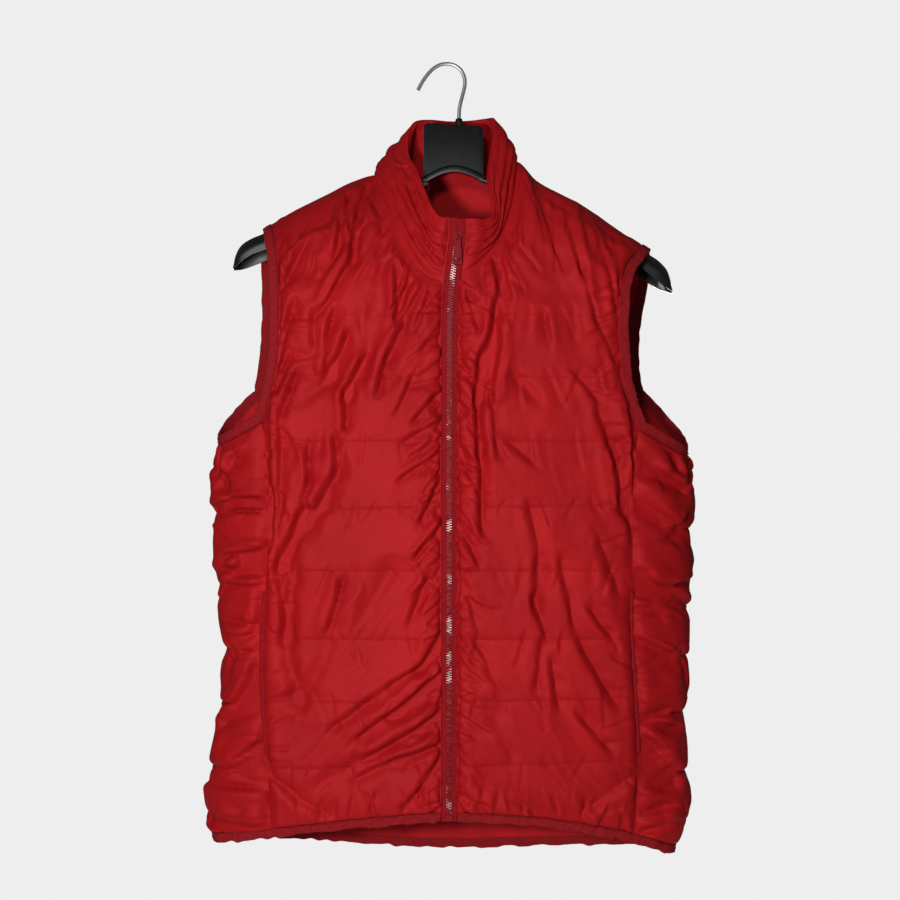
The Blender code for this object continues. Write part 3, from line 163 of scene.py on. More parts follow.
Stand = namedtuple("Stand", "station bx by bz tx ty tz")
COLLAR = table_of(Stand,  # seam at the base and free edge at the top, left zip edge to right
    (0, -3, -61, -223, 3, -62, -162), (1, -16, -59, -219, -5, -60, -161),
    (2, -32, -54, -201, -14, -51, -148), (3, -49, -44, -172, -22, -37, -129),
    (4, -60, -28, -143, -30, -20, -110), (5, -72, 0, -114, -38, -3, -94),
    (6, -67, 20, -111, -36, 13, -70), (7, -50, 33, -111, -29, 24, -56),
    (8, -26, 41, -112, -16, 31, -52), (9, 0, 43, -113, 3, 33, -53),
    (10, 26, 41, -112, 22, 32, -52.5), (11, 50, 33, -109, 36, 27, -52),
    (12, 64, 19, -104, 45, 15, -55), (13, 69, 0, -100, 46, 0, -72),
    (14, 67.5, -16, -121, 43, -13, -92), (15, 63, -31, -148, 40, -29, -118),
    (16, 55, -42, -172, 43, -42, -143), (17, 45, -50.5, -190, 43, -52, -158),
    (18, 33, -56, -203, 35, -57.5, -163), (19, 23, -59.5, -211.5, 28, -61, -163),
    (20, 14, -61, -217, 19, -62, -163))
COLLAR_TALL = 60.0
COLLAR_PUFF = 5.0
COLLAR_RIM = 5.0
COLLAR_BULGE = 5.0  # how far its back swells, and where and over what depth
COLLAR_SWELL = (15.0, 32.0)
COLLAR_AWAY = (1 / 60, 1 / 50, 0)       # the swelling's direction, for each axis
COLLAR_BLEND = 0.12  # share of the height over which the wall leaves the seam's direction
COLLAR_SHARE = 0.55  # of the placed folds' depth
COLLAR_SWAY = (2.8, 18.0)
COLLAR_WIDE = 70.0  # half axes of the neck's oval, for the walls' directions
COLLAR_DEEP = 55.0
NECK_STATIONS = {"left": 5, "right": 13}
ZIP_STATIONS = {"left": 0, "right": 20}
SEEDS = {("front", "left"): 3, ("front", "right"): 4, "back": 5, ("side", "left"): 6,
         ("side", "right"): 7}
NECK_LEAN = {("front", "left"): 0.5, ("front", "right"): 1.4, ("back", "left"): 0.0,
             ("back", "right"): 0.0}
NECK_SHARE = {"left": 0.45, "right": 0.4}
BACK_SHARES = (0.33, 0.67)

Quilt = namedtuple("Quilt", "z tilt depth")
FRONT_QUILT = table_of(Quilt,  # tilt is the rise for each millimetre to the right
    (-706, 0.022, 0.34), (-642, 0.010, 0.34), (-580, 0.0, 0.34), (-512, 0.0, 0.34),
    (-450, 0.013, 0.34), (-384, 0.0, 0.34), (-319.5, -0.01, 0.32), (YOKE_Z, 0.0, 0.2))
BACK_QUILT = table_of(Quilt,
    (-728, 0.0, 0.7), (-664, 0.0, 0.7), (-600, 0.0, 0.7), (-536, 0.0, 0.7), (-472, 0.0, 0.7),
    (-408, 0.0, 0.7), (-344, 0.0, 0.7), (YOKE_Z - 22, 0.0, 0.7), (-212, 0.0, 0.5),
    (-158, 0.0, 0.3))
SIDE_QUILT = {
    "left": table_of(Quilt,
        (-713, 0.0, 1), (-648, 0.0, 1), (-593, 0.0, 1), (-527, 0.0, 1), (-455, 0.0, 1)),
    "right": table_of(Quilt,
        (-717, 0.0, 1), (-657, 0.0, 1), (-600, 0.0, 1), (-549, 0.0, 1), (-471, 0.0, 1)),
}

# Folds lie along a line from x0, z0 to x1, z1. A trough is below zero and a ridge above.
# Lap 1 or -1 makes the flank to the right or to the left of the line the steep one.
Fold = namedtuple("Fold", "x0 z0 x1 z1 width height lap")
FOLD_DEPTH = 2.4
FOLD_SHARE = {"left": 1.15, "right": 0.9, None: 0.65}   # of the fronts and the back
SWAY = (2.2, 30.0)  # how far a main crease wanders, and over what length
SMALL_SWAY = (1.3, 16.0)
FACE_SMALL = 1.7    # depth of small creases on a front or the back
SIDE_SMALL = 1.9
DROOPED = 0.8       # share of the short folds over which the cloth sags
BACK_DRIFT = 0.6    # the back's creases run outwards less than the fronts'
DRIFT = (           # how far a crease has run outwards at each distance under the hook
    [160, 260, 330, 430, 520, 600, 700, 800],
    [0, 38, 58, 68, 84, 122, 200, 280],
)
FRONT_FOLDS = table_of(Fold,
    # left front: from the shoulder and the neck down to the first seam
    (-84, -135, -96, -204, 5, -3.2, -1), (-96, -204, -123, -251, 5, -4.6, -1),
    (-91, -188, -132, -217, 9, -3.0, 0), (-100, -192, -123, -245, 6, 2.6, -1),
    (-139, -185, -159, -226, 5, -3.4, -1), (-108, -141, -108, -178, 5, -2.0, -1),
    (-100, -141, -97, -169, 5, -2.2, -1), (-130, -258, -130, -286, 6, -3.0, -1),
    (-112, -258, -119, -303, 5, -3.6, -1), (-98, -282, -118, -318, 6, -5.0, -1),
    (-84, -307, -101, -337, 5, -3.2, -1), (-101, -337, -100, -370, 5, -3.4, -1),
    (-51, -215, -50, -260, 5, -2.8, -1), (-42, -268, -57, -302, 5, -3.2, -1),
    (-57, -302, -66, -330, 6, -3.2, -1), (-60, -150, -66, -215, 7, -2.4, 0),
    (-25, -232, -44, -262, 4, -2.4, -1), (-18, -238, -30, -268, 4, -2.6, -1),
    (-38, -222, -52, -262, 4, -2.2, -1), (-150, -250, -166, -290, 5, -2.4, -1),
    (-156, -300, -166, -330, 4, -2.2, -1), (-70, -236, -78, -300, 9, -1.8, 0),
    (-148, -318, -160, -352, 5, -2.6, -1), (-120, -318, -136, -340, 7, -2.2, 0),
    (-34, -322, -46, -352, 5, -2.0, -1), (-14, -342, -30, -362, 4, -2.4, -1),
    (-12, -366, -42, -384, 4, -2.2, -1), (-16, -402, -42, -420, 4, -2.4, -1),
    # left front: the long trough beside the side seam and the folds that cross it
    (-137, -399, -136, -423, 6, -3.4, -1), (-110, -383, -107, -413, 5, -3.2, -1),
    (-107, -413, -126, -447, 7, -4.2, -1), (-137, -423, -145, -464, 8, -4.6, -1),
    (-145, -464, -163, -506, 8, -5.4, -1), (-132, -410, -138, -446, 8, 2.6, 0),
    (-173, -343, -172, -500, 4, 1.8, -1), (-165, -343, -166, -500, 4, -1.9, -1),
    (-165, -500, -160, -560, 6, -2.6, -1), (-103, -528, -113, -563, 6, -3.2, -1),
    (-150, -520, -160, -575, 7, -3.2, -1), (-60, -515, -84, -560, 9, -1.8, 0),
    (-160, -575, -148, -640, 7, -2.4, 0), (-120, -590, -140, -640, 9, -2.0, 0),
    # left front: drags from the zip to the lower left
    (-7, -580, -27, -606, 6, -4.6, -1), (-27, -606, -56, -628, 6, -3.4, -1),
    (-6, -614, -27, -635, 6, -4.8, -1), (-27, -635, -48, -653, 6, -4.6, -1),
    (-6, -652, -27, -668, 5, -4.4, -1), (-27, -668, -72, -694, 6, -4.2, -1),
    (-6, -684, -48, -699, 5, -3.8, -1), (-48, -653, -86, -676, 6, -3.2, -1),
    (-74, -641, -110, -668, 6, -2.6, -1), (-174, -717, -150, -738, 6, -2.4, -1),
    (-150, -738, -118, -756, 7, -2.0, -1), (-8, -700, -38, -742, 5, -2.8, -1),
    (-20, -520, -34, -560, 5, -2.2, -1), (-8, -470, -30, -496, 4, -2.6, -1),
    (-10, -430, -26, -462, 4, -2.6, -1), (-84, -700, -120, -724, 8, -2.0, 0),
    (-175, -436, -175, -486, 4, -4.0, -1), (-48, -699, -84, -716, 6, -2.8, -1),
    # right front: the long wavy crease beside the zip
    (46, -208, 53, -231, 6, -3.8, -1), (53, -231, 44, -284, 6, -5.0, -1),
    (44, -284, 36, -303, 6, -5.0, -1), (36, -303, 30, -340, 6, -5.2, -1),
    (30, -340, 32, -390, 5, -5.0, -1), (32, -390, 34, -468, 5, -4.4, -1),
    (55, -268, 54, -330, 7, 2.4, 0), (42, -330, 43, -392, 6, 2.2, 0),
    (12, -290, 26, -330, 4, -2.4, -1), (14, -348, 24, -372, 4, -2.4, -1),
    (14, -398, 28, -432, 4, -2.6, -1), (14, -470, 30, -502, 4, -2.8, -1),
    (16, -520, 26, -560, 4, -2.2, -1), (20, -236, 30, -276, 5, -2.8, -1),
    (51, -276, 44, -341, 5, -3.6, 1), (44, -341, 48, -392, 5, -3.0, -1),
    # right front: drags from the collar and the shoulder past the armhole
    (120, -168, 134, -215, 5, -2.6, -1), (134, -215, 148, -261, 5, -2.2, -1),
    (148, -261, 167, -304, 5, -2.0, -1), (129, -153, 149, -259, 6, 1.4, 1),
    (151, -174, 168, -249, 5, -1.6, -1), (162, -196, 172, -236, 4, 1.4, 1),
    (84, -120, 96, -176, 6, -1.8, -1), (74, -128, 78, -190, 6, -2.0, -1),
    (96, -260, 100, -284, 5, -2.6, 1), (152, -356, 166, -399, 7, -4.4, -1),
    (166, -399, 174, -445, 7, -4.8, -1), (174, -445, 184, -470, 6, -3.8, -1),
    (176, -345, 182, -430, 5, 2.8, 1), (128, -318, 148, -340, 5, -2.4, -1),
    (66, -318, 90, -342, 6, -2.0, 0), (60, -384, 84, -404, 6, -2.0, -1),
    # right front: drags over the lower seams
    (82, -450, 91, -506, 6, -3.6, -1), (91, -506, 86, -544, 6, -3.4, -1),
    (86, -544, 96, -573, 6, -3.2, -1), (114, -504, 124, -565, 6, -3.2, -1),
    (142, -552, 158, -572, 5, -2.8, -1), (92, -586, 91, -622, 6, -3.2, -1),
    (105, -604, 109, -643, 6, -3.0, -1), (133, -584, 164, -640, 7, -3.6, -1),
    (133, -660, 159, -685, 6, -3.0, -1), (38, -722, 88, -752, 7, -2.4, -1),
    (182, -721, 140, -748, 7, -2.4, 1), (44, -650, 62, -690, 8, -2.2, 0),
    (30, -590, 52, -632, 7, -2.2, -1), (150, -480, 168, -530, 8, -2.6, -1))
BACK_FOLDS = table_of(Fold,
    (-84, -138, -98, -190, 6, -3.0, 1), (-98, -190, -122, -236, 6, -3.8, 1),
    (-150, -190, -166, -252, 6, -3.4, 1), (92, -140, 106, -192, 6, -3.2, -1),
    (106, -192, 130, -240, 6, -3.8, -1), (150, -203, 172, -272, 6, -3.6, -1),
    (-30, -140, -44, -218, 7, -2.4, 0), (38, -142, 28, -224, 7, -2.6, 0),
    (-166, -358, -142, -396, 7, -4.2, 1), (-142, -396, -116, -434, 7, -3.8, 1),
    (170, -362, 144, -402, 7, -4.2, -1), (144, -402, 114, -444, 7, -3.8, -1),
    (-70, -418, -62, -460, 6, -3.0, 1), (-62, -460, -50, -502, 6, -3.2, 1),
    (20, -378, 36, -458, 7, -3.0, -1), (92, -468, 76, -562, 7, -3.2, -1),
    (-142, -498, -108, -592, 8, -3.6, 1), (-20, -558, -46, -642, 7, -3.2, 1),
    (142, -558, 108, -642, 8, -3.6, -1), (-122, -658, -88, -722, 7, -3.2, 1),
    (48, -638, 68, -712, 7, -3.2, 1), (-174, -738, -118, -782, 8, -3.8, 1),
    (174, -743, 124, -787, 8, -3.8, -1), (-16, -718, 10, -782, 7, -3.0, -1),
    (-160, -272, -140, -330, 7, -2.8, 1), (162, -282, 138, -340, 7, -2.8, -1),
    (60, -262, 70, -330, 8, -2.0, 0), (-50, -280, -46, -338, 8, -2.0, 0),
    (-96, -560, -84, -600, 6, -2.4, -1), (6, -470, 0, -530, 7, -2.2, 0))
SIDE_FOLDS = {      # x0 and x1 are depths here, below zero in front of the hanger
    "left": table_of(Fold,
        (-39, -443, -12, -450, 4, -3.0, 1), (-12, -462, -38, -449, 4, -3.2, -1),
        (-39, -447, -46, -452, 4, -2.4, 1), (-29, -498, -44, -494, 5, -2.6, 1),
        (-12, -515, -25, -512, 5, -3.4, 1), (-25, -512, -34, -515, 5, -3.2, 1),
        (-34, -515, -39, -504, 4, -3.8, 1), (-39, -504, -43, -513, 4, -3.4, 1),
        (-46, -529, -42, -561, 4, -4.0, 1), (-42, -561, -36, -574, 4, -3.6, 1),
        (-20, -564, -38, -568, 5, -3.2, 1), (-46, -591, -40, -612, 6, -4.6, 1),
        (-40, -612, -31, -643, 6, -5.2, 1), (-31, -643, -20, -668, 6, -4.6, 1),
        (-45, -680, -40, -688, 4, -3.4, 1), (-40, -688, -34, -700, 4, -3.4, 1),
        (-44, -694, -35, -708, 4, -3.2, 1), (-5, -729, -36, -729, 5, -2.4, 1),
        (-5, -763, -31, -778, 6, -4.4, 1), (-34, -400, -22, -428, 4, -2.8, 1),
        (-18, -398, -24, -424, 4, -2.6, -1), (-6, -410, -30, -440, 5, -2.4, 1),
        (6, -418, 30, -452, 5, -3.2, -1), (28, -556, 6, -592, 6, -3.4, 1),
        (0, -728, 18, -776, 6, -3.0, -1), (32, -470, 8, -516, 5, -3.0, 1),
        (4, -604, 30, -640, 5, -3.2, -1), (34, -660, 10, -700, 5, -3.2, 1)),
    "right": table_of(Fold,
        (-45, -396, -39, -415, 4, -3.4, 1), (-39, -415, -23, -435, 4, -3.0, 1),
        (-34, -394, -26, -411, 4, -3.4, 1), (-46, -443, -38, -472, 6, -3.6, 1),
        (-34, -462, -20, -480, 5, -3.0, 1), (-22, -460, -32, -478, 4, -2.8, -1),
        (-45, -517, -39, -529, 5, -4.2, 1), (-39, -529, -8, -551, 5, -4.0, 1),
        (-8, -525, -38, -530, 5, -3.6, -1), (-45, -657, -38, -664, 5, -4.0, 1),
        (-38, -664, -29, -655, 5, -3.6, 1), (-43, -663, -36, -688, 4, -4.2, 1),
        (-36, -688, -23, -727, 5, -4.0, 1), (-44, -682, -36, -706, 4, -3.6, 1),
        (-36, -706, -29, -727, 4, -3.4, 1), (-30, -666, -19, -672, 4, -3.2, 1),
        (-34, -776, -41, -784, 4, -2.8, 1), (-28, -752, -38, -760, 5, -2.6, 1),
        (-44, -580, -28, -604, 5, -3.0, 1), (-20, -598, -8, -632, 5, -2.8, 1),
        (4, -498, 28, -542, 6, -3.4, -1), (26, -608, 6, -652, 6, -3.4, 1),
        (4, -733, 20, -782, 6, -3.0, -1), (-10, -405, 8, -440, 5, -3.0, 1),
        (32, -420, 12, -462, 5, -3.2, 1), (6, -560, 30, -590, 5, -3.0, -1),
        (34, -670, 12, -716, 5, -3.2, 1)),
}
# They run along the collar: stations and shares of the height take the place of x and z
COLLAR_FOLDS = table_of(Fold,
    (0.2, 0.16, 2.4, 0.22, 3.5, -2.4, 1), (2.4, 0.22, 5.2, 0.30, 3.5, -2.4, 1),
    (0.4, 0.34, 2.0, 0.42, 3.5, -2.6, 1), (2.0, 0.42, 4.2, 0.40, 3.5, -2.2, 1),
    (0.3, 0.55, 1.8, 0.62, 3.0, -2.2, 1), (1.8, 0.62, 3.6, 0.66, 3.5, -2.6, 1),
    (0.8, 0.78, 3.0, 0.86, 3.0, -1.8, 1), (3.3, 0.84, 5.0, 0.74, 3.5, -2.0, 1),
    (4.4, 0.52, 6.2, 0.50, 4.0, -2.4, 1), (3.0, 0.12, 5.0, 0.10, 3.0, -1.6, -1),
    (4.3, 0.95, 4.5, 0.68, 3.0, -2.4, 1), (5.6, 0.70, 7.4, 0.62, 4.0, -1.8, 0),
    (6.4, 0.30, 8.2, 0.26, 4.0, -1.8, 0), (8.0, 0.60, 10.4, 0.64, 4.5, -2.0, 0),
    (9.2, 0.30, 11.2, 0.34, 4.0, -1.8, 0), (11.0, 0.66, 12.8, 0.58, 4.0, -2.0, 0),
    (12.4, 0.30, 14.4, 0.26, 4.5, -1.4, 0), (12.8, 0.52, 15.2, 0.44, 4.5, -1.6, 0),
    (13.2, 0.78, 15.4, 0.70, 4.5, -1.4, 0), (15.2, 0.44, 17.6, 0.42, 4.0, -1.6, -1),
    (15.4, 0.70, 17.8, 0.64, 4.0, -1.2, 0), (14.4, 0.22, 17.0, 0.18, 4.0, -1.6, 0),
    (17.6, 0.42, 19.7, 0.50, 3.5, -1.8, -1), (17.2, 0.20, 19.8, 0.26, 3.5, -1.8, -1),
    (17.8, 0.64, 19.4, 0.78, 3.5, -1.4, -1), (16.0, 0.88, 18.4, 0.86, 3.5, -1.0, -1))

# Short folds along the seams: from one to the next, and the ranges of their lengths, of
# their slopes in degrees, below zero where they run down, and of their heights
Drag = namedtuple("Drag", "step length slope height")
SEAM_DRAG = Drag(21, (10, 34), (-50, 40), (0.6, 1.5))
ARMHOLE_DRAG = Drag(13, (10, 34), (-60, 10), (0.7, 1.8))
QUILT_DRAG = Drag(24, (10, 34), (-120, -50), (0.4, 1.3))
HEM_DRAG = Drag(11, (12, 26), (-115, -65), (0.9, 2.2))
SHOULDER_DRAG = Drag(9, (24, 86), (-95, -64), (0.9, 2.4))
SHOULDER_SHORT_DRAG = Drag(18, (16, 44), (-118, -95), (0.9, 2.0))
NECK_DRAG = Drag(0.32, (20, 62), (-80, -46), (1.0, 2.6))        # its step is in stations
SIDE_FRONT_DRAG = Drag(22, (12, 36), (-60, 35), (0.8, 2.0))
SIDE_BACK_DRAG = Drag(22, (12, 34), (-60, 35), (0.8, 2.0))
SIDE_QUILT_DRAG = Drag(15, (12, 34), (-140, -40), (0.8, 2.2))
ARMPIT_DRAG = Drag(9, (12, 34), (-125, -55), (1.4, 3.0))
SIDE_HEM_DRAG = Drag(10, (12, 26), (-115, -65), (1.0, 2.4))
ZIP_DRAG = Drag(11, (10, 38), (-62, -18), (1.2, 2.6))
ZIP_RISING_DRAG = Drag(33, (8, 18), (5, 50), (1.0, 2.0))

# Hanger
ARM_DROP = 0.6
ARM_NECK_DROP = 4.0
ARM_ROOF = 0.47
ARM_WALL = 2.4
Arm = namedtuple("Arm", "x ridge front rear half")
Mark = namedtuple("Mark", ("run", *Arm._fields))
ARM_ROOT = {
    "left": Arm(-20, -113, -123, -125, 8),
    "right": Arm(33, -113, -117.5, -118, 8),
}
ARM_AT_SHOULDER = Arm(0, 0, -21.5, -28, 14)
ARM_TIP = {
    "left": table_of(Arm,
        (-187, -171.4, -190, -198.5, 14), (-197, -175.5, -193.5, -202.5, 14),
        (-206, -180.5, -199, -206, 13.5), (-212, -186.5, -203.5, -207.5, 12.5),
        (-216, -195.5, -206.5, -208, 10), (-217.5, -203, -207.5, -208.5, 7)),
    "right": table_of(Arm,
        (207, -193.4, -215.5, -221.5, 14), (214, -198, -220.5, -225.5, 14),
        (220, -203.5, -225.5, -228.5, 13.5), (224.5, -209.5, -228.5, -230, 12.5),
        (227.5, -218, -230, -231, 10), (229, -225.5, -230.5, -231.5, 7)),
}
SHOULDER_MARKS = (0, 0.04, 0.14, 0.32, 0.54, 0.77)
PLATE_LEFT = -24.0
PLATE_RIGHT = 37.0
PLATE_TOP_LEFT = -59.0
PLATE_TOP_RIGHT = -62.5
PLATE_HALF = 5.0
PLATE_CORNER = 5.0
PLATE_BEVEL = (1.0, 1.2)        # across and down
PLATE_COUNT = 49    # sections across the plate
ARCH_END_LEFT = -121.0
ARCH_END_RIGHT = -119.0
ARCH_RISE = 11.0
RIM = 7.0
RIM_HALF = 7.5
RIM_SECTION = ((-1, 0.0), (1, 0.0), (1, 0.62), (0.9, 0.82), (0.66, 1.0), (-0.66, 1.0),
               (-0.9, 0.82), (-1, 0.62))        # shares of its half depth and its height
BOSS_RADIUS = 4.2
BOSS_TOP = -54.0
BOSS_X = 12.2
BOSS_SIDES = 24
BOSS_RINGS = ((-9, 1.06), (-3, 0.92), (-0.8, 0.8), (0, 0.62))   # height, share of the radius

POCKET_TOP = -533.0
POCKET_FOOT = -695.0
POCKET_WIDTH = 5.0
POCKET_THICK = 1.4
POCKET_COUNT = 110  # sections along it
POCKET_CHAIN = (0.25, 3.0)      # height and pitch of its teeth
POCKET_SECTION = ((-1, 0), (1, 0), (1, 0.55), (0.4, 0.75), (0.18, 1), (-0.18, 1), (-0.4, 0.75),
                  (-1, 0.55))

# Lengths of the grids in millimetres: body and yoke, shoulder and neck seams, round and up
FRONT_RUNS = (515, 140, 85, 112)
BACK_RUNS = (545, 120, 124, 128)
SIDE_RUNS = (112, 400)
COLLAR_RUN = 66
COLLAR_COUNTS = (14, 250, 14)   # columns beside the zip, round the neck and beside the zip

# Settling of the cloth: it is worked out at ten times its size, where the solver is steady
SOFT_SCALE = 0.01
SOFT_STEPS = 24
SOFT_GRID = 2.4
SOFT_CAP = {"side_left": 3.0, "side_right": 3.0, "collar": 5.0}
SOFT_CAP_FACE = 6.5
EASE = {"body": (0.035, 0.035, 0.015), "collar": (0.03, 0.03, 0.03)}
HELD_FOLD = -1.6    # folds deeper than this keep their place,
HELD_SEAM = 1.2     # and so do many points nearer to a quilting seam than this
CLOTH = {
    "quality": 4, "mass": 0.05, "tension_stiffness": 15, "compression_stiffness": 15,
    "shear_stiffness": 4, "bending_model": "ANGULAR", "bending_stiffness": 0.04,
    "tension_damping": 5, "compression_damping": 5, "shear_damping": 5, "bending_damping": 0.5,
    "air_damping": 2.0,
}

# Darker and lighter shade of each thing that takes no colour from the settings
SHADES = {
    # the lining's shades are painted light: lighter than the shell's, for its shaded inside
    "lining": ("#AE171D", "#BE1C22"), "binding": ("#84141A", "#9A181E"),
    # the teeth's lighter shade is a painted highlight: pale glints on the crowns
    "tape": ("#8E121A", "#A2181F"), "teeth": ("#8E161C", "#CDB2AE"),
    "enamel": ("#7E161C", "#8C1E24"), "plastic": ("#0F1111", "#161818"),
    "wire": ("#C4C4BC", "#E2E1DA"), "floor": ("#DADADA", "#E0E0E0"),
}
BINDING_THREAD = "#7A1016"
TAPE_THREAD = "#8A141C"

# Camera and studio
CAMERA_AT = (3.06, -2250.0, -392.2)
CAMERA_LENS = 88.2
CAMERA_SENSOR = 36.0
FLOOR_LEVEL = -1050.0
FLOOR_RADIUS = 900.0
FLOOR_SIDES = 96
SURROUND = "#EEEEEE"
SURROUND_LIGHT = 0.12           # share of it that lights the cloth
LAMPS = (                       # name, place and size in metres, power in watts
    ("key", (-0.44, -1.6, -0.42), 0.2, 15.4),
    ("upper", (-0.2, -1.5, 0.2), 0.2, 5.6),
    ("back", (0.5, 2.2, -0.35), 0.7, 44.0),
)
LAMP_TARGET = (0, 0, -0.4)


# ---------------------------------------------------------------- small maths

def read(table, column, at):
    """Smooth value of a named column where the table's first column is at."""
    rows = table if table[0][0] < table[-1][0] else table[::-1]
    keys = np.array([row[0] for row in rows], float)
    values = np.array([getattr(row, column) for row in rows], float)
    at = np.clip(at, keys[0], keys[-1])
    low = np.clip(np.searchsorted(keys, at, side="right") - 1, 0, len(keys) - 2)
    order = np.arange(len(keys))
    first, last = np.maximum(order - 1, 0), np.minimum(order + 1, len(keys) - 1)
    slopes = (values[last] - values[first]) / (keys[last] - keys[first])
    span = keys[low + 1] - keys[low]
    share = (at - keys[low]) / span
    rest = 1 - share
    return (values[low] * (1 + 2 * share) * rest ** 2 + slopes[low] * span * share * rest ** 2
            + values[low + 1] * (3 - 2 * share) * share ** 2
            - slopes[low + 1] * span * rest * share ** 2)


def mix(first, last, share):
    return first + (last - first) * share


def smooth(share):
    share = np.clip(share, 0, 1)
    return share * share * (3 - 2 * share)


def bell(distance, width):
    return np.exp(-(distance / width) ** 2)


def unit(vectors):
    return vectors / np.maximum(np.linalg.norm(vectors, axis=-1, keepdims=True), 1e-9)


def sign_of(side):
    return -1 if side == "left" else 1


def noise(u, v, seed):
    """Smooth random values from -1 to 1 over the plane, one knot for each unit."""
    u, v = np.broadcast_arrays(np.asarray(u, float), np.asarray(v, float))
    cell_u, cell_v = np.floor(u).astype(int), np.floor(v).astype(int)
    part_u, part_v = smooth(u - cell_u), smooth(v - cell_v)

    def knot(i, j):
        mixed = (i * 374761393 + j * 668265263 + seed * 974634777) & 0xFFFFFFFF
        mixed = ((mixed ^ (mixed >> 13)) * 1274126177) & 0xFFFFFFFF
        return ((mixed ^ (mixed >> 16)) & 0xFFFF) / 32767.5 - 1

    low = mix(knot(cell_u, cell_v), knot(cell_u + 1, cell_v), part_u)
    high = mix(knot(cell_u, cell_v + 1), knot(cell_u + 1, cell_v + 1), part_u)
    return mix(low, high, part_v)


def creased(u, v, seed):
    """Random ridges with sharp crests, from about -1 to 1."""
    return 1 - 2.4 * np.sqrt(noise(u, v, seed) ** 2 + 0.004)


# ---------------------------------------------------------------- the body's form

def oval_sum(x, y, z):
    width = np.where(x < 0, read(BODY, "left", z), read(BODY, "right", z))
    depth = np.where(y < 0, read(BODY, "front", z), read(BODY, "back", z))
    return (np.abs(x) / width) ** ROUND + (np.abs(y) / depth) ** ROUND


def oval_normals(points):
    step = 0.05
    x, y, z = np.moveaxis(points, -1, 0)
    return unit(np.stack([
        oval_sum(x + step, y, z) - oval_sum(x - step, y, z),
        oval_sum(x, y + step, z) - oval_sum(x, y - step, z),
        oval_sum(x, y, z + step) - oval_sum(x, y, z - step),
    ], -1))


def face_points(face, x, z):
    """Points of the plain inside of a front or the back."""
    width = np.where(x < 0, read(BODY, "left", z), read(BODY, "right", z))
    share = np.clip(np.abs(x) / width, 0, 1)
    depth = read(BODY, face, z) * (1 - share ** ROUND) ** (1 / ROUND)
    return np.stack([x + 0 * z, -depth if face == "front" else depth, z + 0 * x], -1)


def side_points(side, share, z):
    """Points of a side panel, from its front seam at 0 to its back seam at 1."""
    width = read(BODY, side, z)
    front, back = (np.arccos((read(seam, side, z) / width) ** (ROUND / 2))
                   for seam in (FRONT_SEAM, BACK_SEAM))
    angle = mix(-front, back, share)
    depth = np.where(angle < 0, read(BODY, "front", z), read(BODY, "back", z))
    across = width * np.cos(angle) ** (2 / ROUND)
    along = np.copysign(depth * np.abs(np.sin(angle)) ** (2 / ROUND), angle)
    return np.stack([sign_of(side) * across, along, z + 0 * angle], -1)


def hem_height(x, in_front):
    return read(HEM_FRONT if in_front else HEM_BACK, "z", x)


def zip_x(z):
    return read(ZIP_LINE, "x", z)


def zip_front_y(z):
    return -read(BODY, "front", z)


def edge_x(face, side, z):
    """Outer edge of a front or the back: its side seam, then its armhole."""
    armhole = ARMHOLE[face, side]
    seam = FRONT_SEAM if face == "front" else BACK_SEAM
    distance = np.where(np.asarray(z) > armhole[-1].z, read(armhole, "x", z),
                        read(seam, side, z))
    return sign_of(side) * distance


def stand_point(station, end):
    """Point of the collar's seam, end "b", or of its free edge, end "t"."""
    if station in (0, 20):
        z = read(COLLAR, end + "z", station)
        edge = -ZIP_HALF if station == 0 else ZIP_HALF
        return np.array([zip_x(z) + edge, read(COLLAR, end + "y", station), z])
    return np.array([read(COLLAR, end + axis, station) for axis in "xyz"])


def neck_normal(base):
    """Shared direction of the walls at the collar's seam."""
    reach = abs(base[0]) / COLLAR_WIDE
    return unit(np.array([base[0] / COLLAR_WIDE, base[1] / COLLAR_DEEP,
                          0.1 + 0.75 * reach ** 2]))


def neck_x(side):
    """Where the shoulder seam meets the collar."""
    return stand_point(NECK_STATIONS[side], "b")[0]


# ---------------------------------------------------------------- quilting and folds

def crown(share):
    """Shape of a baffle from its lower seam at 0: fullest below its middle, as it sags."""
    return np.maximum(np.sin(math.pi * share ** 0.7), 0) ** 0.45


def baffles(z, x, seams, foot, head):
    """Height of the quilting down one column, as a share of a full baffle."""
    levels = [(seam.z + seam.tilt * np.interp(seam.z, z, x), seam.depth) for seam in seams]
    marks = [(foot, 1.0)]
    marks += [level for level in levels if foot + EDGE_CLEAR < level[0] < head - EDGE_CLEAR]
    marks.append((head, 1.0))
    puff = np.zeros_like(z)
    for (low, low_depth), (high, high_depth) in zip(marks, marks[1:]):
        inside = (z >= low) & (z <= high)
        share = np.clip((z - low) / (high - low), 0, 1)
        fullness = min((high - low) / FULL_BAFFLE, 1) ** 0.6
        height = fullness * (1 - mix(low_depth, high_depth, share) * (1 - crown(share)))
        puff = np.where(inside, height, puff)
    return puff


def seam_distance(z, x, seams):
    """Distance to the nearest quilting seam, and that seam's number."""
    gaps = np.stack([np.abs(z - seam.z - seam.tilt * x
                            - 1.3 * noise(x / 26, seam.z, 16) - 0.5 * noise(x / 7, seam.z, 17))
                     for seam in seams])
    return gaps.min(0), gaps.argmin(0)


def rise(distance, start, run):
    """From 0 up to the start to 1 a run further on, round like a baffle's edge."""
    share = np.clip((distance - start) / run, 0, 1)
    return np.sin(share * math.pi / 2) ** 0.7


def flank(distance, width):
    """From 1 at distance 0 straight down to 0 at the width."""
    return np.maximum(1 - np.abs(distance) / width, 0)


